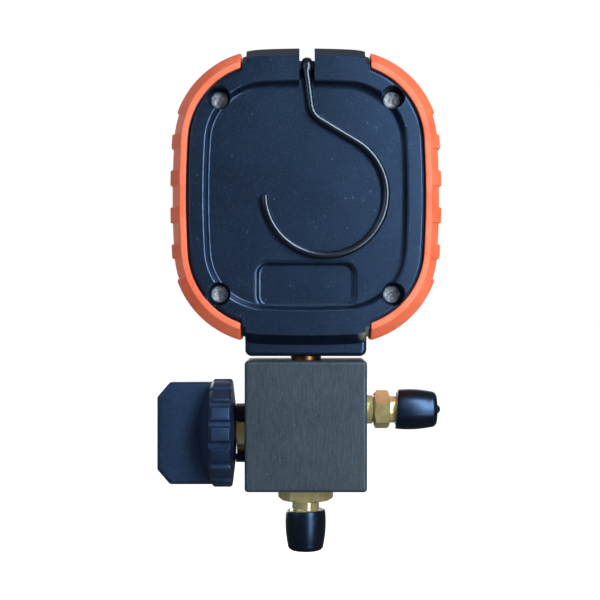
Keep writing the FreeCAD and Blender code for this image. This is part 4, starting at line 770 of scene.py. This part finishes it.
def knobBladeShell():
    # The blade's outline, drawn in by round * (1 - cosine) while it rises by round * sine towards each face
    k = knob
    inner, far, half = k["bladeStart"], k["bladeEnd"], k["bladeHalf"]
    slope, step = far - k["cornerAlong"], half - k["cornerRound"]
    corners = np.array([(inner, -half), (slope, -half), (far, -step), (far, step), (slope, half), (inner, half)])
    reach = math.tan(math.atan2(k["cornerRound"], k["cornerAlong"]) / 2)
    other = math.tan(math.atan2(k["cornerAlong"], k["cornerRound"]) / 2)
    pull = np.array([(0, 1), (-reach, 1), (-1, other), (-1, -other), (-reach, -1), (0, -1)])
    turns = np.radians(np.linspace(-90, 90, 15))
    rows = []
    for inset, level in zip(k["round"] * (1 - np.cos(turns)), k["round"] * np.sin(turns)):
        ring = roundCorners(corners + inset * pull, k["bladeRounds"], 8)
        level += math.copysign(k["bladeThick"] - k["round"], level)
        rows.append(np.stack([ring[:, 0], np.full(len(ring), level), ring[:, 1] + k["z"]], -1))
    return shell(np.array(rows), "face")


makePiece("knob_dressed", [knobDiscShell(), knobBladeShell()], "knob", "knob", ["knob"], 30)
print("knob made")


# Soft caps. The rows of the nub and the flat are radius and height over the cap's end.

cap = {"mouth": 6.9, "belly": 7.15, "end": 6.35, "length": 14.3, "bellyAt": 0.35, "corner": 2.0, "bore": 5.855,
       "cone": 2.6, "floor": 1.5, "insideRounds": (0, 0.6, 0.8, 0.4, 0.45, 0), "sides": 120,
       "nub": ((2.6, 0), (2.0, 0.16), (1.6, 0.42), (1.3, 0.72), (1.05, 0.98), (0.75, 1.17), (0.4, 1.27), (0, 1.3)),
       "flat": ((2.0, -0.01), (0, 0))}
capPlaces = {
    "side_cap": {"foot": (-32.05, 0, 46.0), "way": (-1, 0, 0), "side": (0, 0, 1), "depth": 11.5, "tip": "nub",
                 "slant": 0.055},
    "bottom_cap": {"foot": (0, 0, 10.4), "way": (0, 0, -1), "side": (1, 0, 0), "depth": 10.4, "tip": "flat",
                   "slant": 0.03},
}


def capShell(place):
    # A parabola through mouth, belly and end, then a rounded corner and the end; the hollow follows the
    # thread. The mouth's cut slants: each point moves along by slant * its height * its share from the end.
    c = cap
    shoulder = c["length"] - c["corner"]
    swellAt = np.linspace(0, 1, 16)[1:] * shoulder
    known = np.polyfit([0, c["length"] * c["bellyAt"], shoulder], [c["mouth"], c["belly"], c["end"]], 2)
    swell = np.stack([np.polyval(known, swellAt), swellAt], -1)
    turns = np.radians(np.linspace(0, 78, 12))[1:]
    corner = np.stack([c["end"] - c["corner"] + c["corner"] * np.cos(turns),
                       shoulder + c["corner"] * np.sin(turns)], -1)
    floor = place["depth"] + c["floor"]
    inside = roundCorners([(0, floor), (c["bore"] - c["cone"], floor), (c["bore"], floor - c["cone"]),
                           (c["bore"], 0), (c["mouth"], 0), (c["mouth"] + 0.1, 3.0)], c["insideRounds"])[:-1]
    radius, along = spread(np.concatenate([inside, swell, corner, np.array(c[place["tip"]]) + (0, c["length"])]),
                           c["sides"])
    turns = evenTurns(c["sides"])
    fade = np.clip(1 - along / c["length"], 0, 1) * (along < floor + 0.01)
    along = along + place["slant"] * radius * np.cos(turns) * fade
    return shell(turnedRings(radius, along, place["foot"], place["way"], place["side"], turns))


for capName, capPlace in capPlaces.items():
    makePiece(capName + "_dressed", [capShell(capPlace)], capName, "cap", [capName], 45)
print("caps made")


# Brass fittings

flare = {"threadRadius": 5.555, "neckRadius": 4.75, "neck": 3.2, "runout": 0.6, "bevel": 0.35, "nose": 2.95,
         "reach": 14.0, "bore": 2.4, "rootRadius": 4.85, "rootLength": 7.5, "pitch": 1.27, "threadDepth": 0.68,
         "rowsPerPitch": 14, "fadeIn": 1.0, "fadeOut": 0.8, "edge": 0.22, "chamfer": 0.62, "chamferFrom": 0.12}
fittingPlaces = {
    "side_fitting": {"foot": (-21.1, 0, 46.0), "way": (-1, 0, 0), "hex": 12.0, "hexStart": 3.0, "hexLength": 5.45,
                     "turn": 8.3, "collar": 5.1},
    "bottom_fitting": {"foot": (0, 0, 18.5), "way": (0, 0, -1), "hex": 17.0, "hexStart": 0.0, "hexLength": 4.5,
                       "turn": 6.0, "collar": 0.0},
}


def hexTurns(turn):
    # Turns that fall closely round the six corners and evenly along the flats
    near = np.concatenate([np.linspace(-2.4, 2.4, 9), np.linspace(5, 55, 12)])
    return np.radians((30 + turn + 60 * np.arange(6)[:, None] + near).reshape(-1))


def hexRadius(turns, acrossFlats, turn, edge):
    # From the middle to a hexagon's side: half its width over the cosine of the angle from the flat's
    # middle; near a corner a small circle of the edge's radius takes over
    sixth = math.pi / 6
    flat = acrossFlats / 2
    fromFlat = (turns - math.radians(turn) + sixth) % (2 * sixth) - sixth
    fromCorner = (turns - math.radians(turn)) % (2 * sixth) - sixth
    centre = (flat - edge) / math.cos(sixth)
    touching = sixth - math.atan2(centre * math.sin(sixth), flat)
    rounded = centre * np.cos(fromCorner) + np.sqrt(np.clip(edge ** 2 - (centre * np.sin(fromCorner)) ** 2, 0, None))
    return np.where(np.abs(fromCorner) < touching, rounded, flat / np.cos(fromFlat))


def threadRows(start, end, sides, turns):
    # Radius falls from the crest by depth * a flattened wave of (distance / pitch - turn), faded at both ends
    f = flare
    along = np.linspace(start, end, int((end - start) / f["pitch"] * f["rowsPerPitch"]))[:, None]
    phase = (along / f["pitch"] - turns / (2 * math.pi)) % 1
    wave = np.clip(np.abs(2 * phase - 1) * 1.5 - 0.25, 0, 1)
    fade = smooth((along - start) / f["fadeIn"]) * smooth((end - along) / f["fadeOut"])
    return f["threadRadius"] - f["threadDepth"] * wave * fade, np.repeat(along, sides, 1)


def fittingShell(place):
    # Root, collar and hexagon, whose corners end on a cone, then neck, thread, nose and bore. The small
    # numbers ease the edges, in millimetres.
    f = flare
    turns = hexTurns(place["turn"])
    sides = len(turns)
    start, end = place["hexStart"], place["hexStart"] + place["hexLength"]
    flat = place["hex"] / 2
    radius = hexRadius(turns, place["hex"], place["turn"], f["edge"])
    cut = np.maximum(radius - flat, 0.0) * f["chamfer"] + f["chamferFrom"]
    nose = end + f["reach"]
    cone = nose - (f["threadRadius"] - f["bevel"] - f["nose"])
    root, neckEnd = f["rootRadius"], end + f["neck"]
    low = [(f["bore"], -f["rootLength"]), (root - 0.4, -f["rootLength"]), (root, 0.4 - f["rootLength"]), (root, -0.3)]
    if place["collar"]:
        c = place["collar"]
        low += [(root - 0.1, 0.02), (c - 0.1, 0.25), (c, 0.6), (c, start - 0.75), (c - 0.12, start - 0.5),
                (c - 0.55, start - 0.3), (c - 0.55, start - 0.06), (c - 0.3, start)]
    low += [(flat - 0.5, start), (flat - 0.16, start + 0.015)]
    level = np.full(sides, flat - 0.04)
    hexFaces = (np.stack([level, radius, radius, level]),
                np.stack([level * 0 + start + 0.08, start + cut, end - cut, level * 0 + end - 0.08]))
    neck = [(flat - 0.16, end - 0.015), (flat - 0.5, end), (f["neckRadius"] + 0.5, end),
            (f["neckRadius"] + 0.12, end + 0.12), (f["neckRadius"], end + 0.5), (f["neckRadius"], neckEnd - 0.2),
            (f["neckRadius"] + 0.05, neckEnd)]
    high = [(f["threadRadius"] - f["bevel"], cone), (f["nose"] + 0.1, nose - 0.08), (f["nose"] - 0.1, nose),
            (f["bore"] + 0.25, nose), (f["bore"], nose - 0.3)]
    grids = (spread(low, sides), hexFaces, spread(neck, sides),
             threadRows(neckEnd + f["runout"], cone - f["bevel"], sides, turns), spread(high, sides))
    grid = [np.concatenate(parts) for parts in zip(*grids)]
    return shell(turnedRings(*grid, place["foot"], place["way"], (0, 1, 0), turns), "loop")


for fittingName, fittingPlace in fittingPlaces.items():
    makePiece(fittingName + "_dressed", [fittingShell(fittingPlace)], "housing", "brass",
              [fittingName], 24)
print("fittings made")


# Bezel, lens and pointer

bezel = {"outer": 39.2, "opening": 34.0, "face": -17.0, "seat": -14.5, "lensFront": -14.8, "skirtEnd": -12.3,
         "skirt": 37.1, "grip": 35.9, "edge": 0.9, "slope": 1.8, "ribs": 90, "pointsPerRib": 6, "ribDepth": 0.22,
         "ribFace": 0.7, "ribFoot": 0.2,
         "rounds": (0.1, 0.1, 0.2, 0.3, 0.1, 0.2, 0.5, 0.5, 0.9, 0.2)}
window = {"radius": 35.8, "front": -14.8, "back": -12.8, "dome": 0.35, "edge": 0.25, "sides": 180}
needle = {"front": -12.0, "back": -11.6, "side": 0.15, "length": 27.0, "tail": 9.0, "zero": 225.0, "hub": 3.0,
          "hubFront": -12.5, "hubBack": -11.2, "bore": 1.02, "knots": (-9, -8.6, -2, 0, 3, 24, 26.6, 27),
          "halves": (0.9, 1.35, 0.95, 1.6, 1.15, 0.42, 0.2, 0.06)}
onDial = (middle, (0, 1, 0), (1, 0, 0))


def bezelShell():
    # A turned ring section; round its outer edge the radius dips by a raised cosine, once for each rib
    b = bezel
    section = roundCorners([(b["opening"], b["lensFront"]), (b["grip"], b["lensFront"]), (b["grip"], b["skirtEnd"]),
                            (b["skirt"], b["skirtEnd"]), (b["skirt"], b["seat"]), (b["outer"], b["seat"]),
                            (b["outer"], b["face"] + b["edge"]), (b["outer"] - b["edge"], b["face"]),
                            (b["opening"] + b["slope"], b["face"]), (b["opening"], b["lensFront"] - b["edge"])],
                           b["rounds"], 5)
    sides = b["ribs"] * b["pointsPerRib"]
    turns = evenTurns(sides)
    radius, along = spread(section, sides)
    share = smooth((radius - b["outer"] + b["edge"]) / b["ribFace"]) * smooth((b["seat"] - along) / b["ribFoot"])
    radius = radius - share * b["ribDepth"] * (0.5 + 0.5 * np.cos(b["ribs"] * turns)) ** 3
    return shell(turnedRings(radius, along, *onDial, turns), "loop")


def lensShell():
    # A disc whose front sags by dome * the square of the radius's share, with eased edges
    w = window
    share = np.linspace(0, 1, 14)
    front = np.stack([share * (w["radius"] - w["edge"]), w["front"] + w["dome"] * share ** 2], -1)
    rim = [(w["radius"], w["front"] + w["dome"] + w["edge"]), (w["radius"], w["back"] - w["edge"]),
           (w["radius"] - w["edge"], w["back"]), (0, w["back"])]
    return turnedShell(np.concatenate([front, rim]), w["sides"], *onDial)


def needleShells():
    # The blade's half width runs along knots from tail to tip; its front has a ridge. The hub is turned, with
    # its edges eased by the small numbers.
    n = needle
    place = np.concatenate([np.linspace(-n["tail"], -2, 8), np.linspace(-1, n["length"], 24)])
    half = np.interp(place, n["knots"], n["halves"])
    way = np.array([math.cos(math.radians(n["zero"])), 0, math.sin(math.radians(n["zero"]))])
    across = np.array([-way[2], 0, way[0]])
    shares = np.array([-1, 1, 1, 0, -1])
    points = np.array(middle) + place[:, None, None] * way + (half[:, None] * shares)[..., None] * across
    points[..., 1] = (n["back"], n["back"], n["back"] - n["side"], n["front"], n["back"] - n["side"])
    hub = [(n["bore"], n["hubBack"]), (n["hub"] - 0.15, n["hubBack"]), (n["hub"], n["hubBack"] - 0.15),
           (n["hub"], n["hubFront"] + 0.5), (n["hub"] - 0.2, n["hubFront"] + 0.2), (n["hub"] - 0.6, n["hubFront"]),
           (n["bore"], n["hubFront"])]
    return [shell(points, "face"), turnedShell(hub, 64, *onDial, "loop")]


makePiece("bezel_dressed", [bezelShell()], "housing", "bezel", ["bezel_ring"], 35)
makePiece("lens_dressed", [lensShell()], "housing", "lens", ["lens"], 35)
makePiece("pointer_dressed", needleShells(), "pointer", "pointer", ["pointer"], 25)
print("front window made")


# Dial print: plain graduations, numbers and units

dial = {"face": -10.4, "raised": 0.04, "sunk": 0.03, "zero": 225.0, "sweep": 270.0, "full": 500, "lineHalf": 0.12,
        "unitShare": 0.9}
scales = {
    "psi": {"ink": "ink", "outer": 31.2, "long": 3.6, "short": 2.0, "wide": 0.55, "narrow": 0.22, "step": 10,
            "major": 50, "numberEvery": 100, "numbersAt": 24.0, "size": 4.6, "unit": (0.0, 9.5), "perUnit": 1.0,
            "last": 500, "line": 31.4},
    "bar": {"ink": "redInk", "outer": 19.6, "long": 2.2, "short": 1.2, "wide": 0.42, "narrow": 0.2, "step": 1,
            "major": 5, "numberEvery": 10, "numbersAt": 15.0, "size": 2.9, "unit": (0.0, -9.0), "perUnit": 14.504,
            "last": 34, "line": 19.8},
}


def dialTurn(value, scale):
    return np.radians(dial["zero"] - dial["sweep"] * value * scale["perUnit"] / dial["full"])


def tickShell(scale):
    # One thin box for each graduation: its eight corners lie at the ends and sides of a short radial line
    values = np.arange(0, scale["last"] + scale["step"] / 2, scale["step"])
    main = np.isclose(values % scale["major"], 0)
    turns = dialTurn(values, scale)
    inner = scale["outer"] - np.where(main, scale["long"], scale["short"])
    half = np.where(main, scale["wide"], scale["narrow"]) / 2
    way = np.stack([np.cos(turns), np.zeros_like(turns), np.sin(turns)], -1)
    across = np.stack([-way[:, 2], np.zeros_like(turns), way[:, 0]], -1)
    ends = np.stack([inner, np.full_like(inner, scale["outer"])], -1)
    corners = (ends[:, :, None, None] * way[:, None, None] +
               half[:, None, None, None] * np.array([-1, 1])[:, None] * across[:, None, None])
    corners = np.stack([corners, corners], 1)
    corners[:, 0, ..., 1] = dial["face"] + dial["sunk"]
    corners[:, 1, ..., 1] = dial["face"] - dial["raised"]
    one = np.array([[0, 1, 3, 2], [4, 6, 7, 5], [0, 4, 5, 1], [2, 3, 7, 6], [0, 2, 6, 4], [1, 5, 7, 3]])
    quads = (one[None] + 8 * np.arange(len(values))[:, None, None]).reshape(-1, 4)
    return corners.reshape(-1, 3) + np.array(middle), [quads]


def lineShell(scale):
    # A thin raised band along the scale's arc: a rectangle carried round from the first value to the last
    turns = dialTurn(np.linspace(0, scale["last"], 180), scale)[:, None]
    radius = scale["line"] + np.array([-1, 1, 1, -1]) * dial["lineHalf"]
    levels = dial["face"] + np.repeat([dial["sunk"], -dial["raised"]], 2)
    return shell(carried(radius, turns, levels, 0.0, middle[2]), "face")


def wordShell(text, size, x, z):
    # The built-in letters, raised a little, turned to face -Y and centred on x and z
    curve = bpy.data.curves.new("word", "FONT")
    curve.body = text
    curve.size = size
    curve.align_x = curve.align_y = "CENTER"
    curve.resolution_u = 3
    curve.extrude = (dial["raised"] + dial["sunk"]) / 2
    holder = bpy.data.objects.new("word", curve)
    scene.collection.objects.link(holder)
    mesh = bpy.data.meshes.new_from_object(holder.evaluated_get(bpy.context.evaluated_depsgraph_get()))
    points = np.empty(len(mesh.vertices) * 3)
    totals = np.empty(len(mesh.polygons), int)
    corners = np.empty(len(mesh.loops), int)
    mesh.vertices.foreach_get("co", points)
    mesh.polygons.foreach_get("loop_total", totals)
    mesh.loops.foreach_get("vertex_index", corners)
    starts = np.cumsum(totals) - totals
    faces = [corners[starts[totals == count][:, None] + np.arange(count)] for count in np.unique(totals)]
    bpy.data.objects.remove(holder)
    bpy.data.curves.remove(curve)
    bpy.data.meshes.remove(mesh)
    right, up, out = points.reshape(-1, 3).T
    level = dial["face"] - (dial["raised"] - dial["sunk"]) / 2 - out
    return np.stack([x + right, level, middle[2] + z + up], -1), faces


for scaleName, scale in scales.items():
    shells = [tickShell(scale), lineShell(scale),
              wordShell(scaleName, scale["size"] * dial["unitShare"], *scale["unit"])]
    for value in range(0, scale["last"] + 1, scale["numberEvery"]):
        turn = float(dialTurn(value, scale))
        shells.append(wordShell(str(value), scale["size"], scale["numbersAt"] * math.cos(turn),
                                scale["numbersAt"] * math.sin(turn)))
    makePiece("dial_print_" + scaleName, shells, "housing", scale["ink"], (), 30)
print("dial printed")


# Stage: floor, light and camera

stage = {"floorBelow": 0.16, "floorRadius": 4.0, "floorSides": 96, "floorColour": (0.8, 0.8, 0.8, 1.0),
         "floorRoughness": 0.9, "whiteShare": 0.9, "glossShare": 0.08, "room": 0.3, "glossyRoom": 0.12,
         "roomColour": (0.9, 0.95, 1.0, 1.0), "glossyColour": (0.95, 0.97, 1.0, 1.0), "glossyLow": 0.3,
         "glossyHigh": 1.2, "backdrop": 1.0, "backdropColour": (1.0, 1.0, 1.0, 1.0), "backdropFrom": 0.75,
         "backdropFull": 0.97}


def rayIs(tree, *kinds):
    # 1 where the ray is of one of the two kinds
    light = newNode(tree, "ShaderNodeLightPath")
    return mathNode(tree, "MAXIMUM", *[light.outputs["Is " + kind + " Ray"] for kind in kinds])


def floorMaterial():
    # The camera and glass see mostly plain white, with the share left over taking the object's shadow.
    # Gloss sees a dim glow, so that dark plastic stays dark. All other light falls on the plain floor.
    made, tree, shader, _ = startMaterial("paleFloor", stage["floorColour"], stage["floorRoughness"],
                                          Specular_IOR_Level=0.0)
    white = newNode(tree, "ShaderNodeEmission", Strength=stage["whiteShare"]).outputs[0]
    dim = newNode(tree, "ShaderNodeEmission", Strength=stage["glossShare"]).outputs[0]
    both = newNode(tree, "ShaderNodeAddShader", shader.outputs[0], white).outputs[0]
    glossy = newNode(tree, "ShaderNodeLightPath").outputs["Is Glossy Ray"]
    last = mixShaders(tree, glossy, shader.outputs[0], dim)
    last = mixShaders(tree, rayIs(tree, "Camera", "Transmission"), last, both)
    setNode(tree, tree.nodes["Material Output"], last)
    return made


def makeFloor():
    # A disc: radius times the cosine and sine of the turn, on one level well below the object
    turns = evenTurns(stage["floorSides"])
    rim = np.stack([np.cos(turns), np.sin(turns), np.zeros_like(turns)], -1) * stage["floorRadius"]
    rim[:, 2] = cadBox[0].z - stage["floorBelow"]
    mesh = bpy.data.meshes.new("floor")
    mesh.from_pydata(rim.tolist(), [], [list(range(len(turns)))])
    mesh.materials.append(floorMaterial())
    made = bpy.data.objects.new("floor", mesh)
    scene.collection.objects.link(made)


def makeWorld():
    # The camera sees white all round. Gloss and glass see the white backdrop on the dial's side and a
    # room that dims downwards on the other. Diffuse light comes from the room, faintly blue.
    world = bpy.data.worlds.new("paleRoom")
    scene.world = world
    world.use_nodes = True
    tree = world.node_tree
    tree.nodes.clear()
    heading = newNode(tree, "ShaderNodeSeparateXYZ", newNode(tree, "ShaderNodeTexCoord").outputs["Generated"])
    behind = stretch(tree, mathNode(tree, "MULTIPLY", heading.outputs["Y"], -1.0),
                     stage["backdropFrom"], stage["backdropFull"])
    dimming = rangeOf(tree, stretch(tree, heading.outputs["Z"], -1.0, 1.0),
                      stage["glossyRoom"] * stage["glossyLow"], stage["glossyRoom"] * stage["glossyHigh"])
    tints = (stage["roomColour"], stage["glossyColour"], stage["backdropColour"])
    room, gloss, white = [newNode(tree, "ShaderNodeBackground", Color=tint, Strength=strength).outputs[0]
                          for tint, strength in zip(tints, (stage["room"], dimming, stage["backdrop"]))]
    mirrored = rayIs(tree, "Glossy", "Transmission")
    seen = newNode(tree, "ShaderNodeLightPath").outputs["Is Camera Ray"]
    whiteShare = mathNode(tree, "MAXIMUM", seen, mathNode(tree, "MULTIPLY", mirrored, behind))
    last = mixShaders(tree, whiteShare, mixShaders(tree, mirrored, room, gloss), white)
    newNode(tree, "ShaderNodeOutputWorld", last)


lamps = {
    "window": {"place": (-0.2, 0.36, 0.27), "width": 0.12, "height": 0.54, "power": 3.0, "tint": (0.95, 0.98, 1.0)},
    "sill": {"place": (-0.2, 0.36, -0.075), "width": 0.12, "height": 0.15, "power": 0.32, "tint": (0.95, 0.98, 1.0)},
    "fill": {"place": (0.7, 0.45, 0.4), "width": 0.6, "height": 0.6, "power": 1.2, "tint": (0.92, 0.96, 1.0)},
    "front": {"place": (0.4, -0.9, 0.25), "width": 0.6, "height": 0.6, "power": 4.0, "tint": (1.0, 0.99, 0.97)},
}
lampAim = (0.0, 0.0, 0.09)


def addLamp(name, values):
    data = bpy.data.lights.new(name, "AREA")
    data.shape = "RECTANGLE"
    data.size = values["width"]
    data.size_y = values["height"]
    data.energy = values["power"]
    data.color = values["tint"]
    made = bpy.data.objects.new(name, data)
    scene.collection.objects.link(made)
    made.location = values["place"]
    made.rotation_mode = "QUATERNION"
    made.rotation_quaternion = (Vector(lampAim) - Vector(values["place"])).to_track_quat("-Z", "Y")


# focal is in pixels of the 600 pixel frame
camera = {"place": (0.002, 0.497, 0.0847), "focal": 1402.0, "frame": 600.0, "sensor": 36.0, "nearest": 0.01}


def makeCamera():
    data = bpy.data.cameras.new("camera")
    data.sensor_width = camera["sensor"]
    data.lens = camera["focal"] * camera["sensor"] / camera["frame"]
    data.clip_start = camera["nearest"]
    made = bpy.data.objects.new("camera", data)
    scene.collection.objects.link(made)
    made.location = camera["place"]
    made.rotation_euler = (math.radians(90), 0.0, math.radians(180))
    scene.camera = made


makeFloor()
makeWorld()
for lampName, lampValues in lamps.items():
    addLamp(lampName, lampValues)
makeCamera()
scene.view_settings.view_transform = "Standard"
print("stage set")
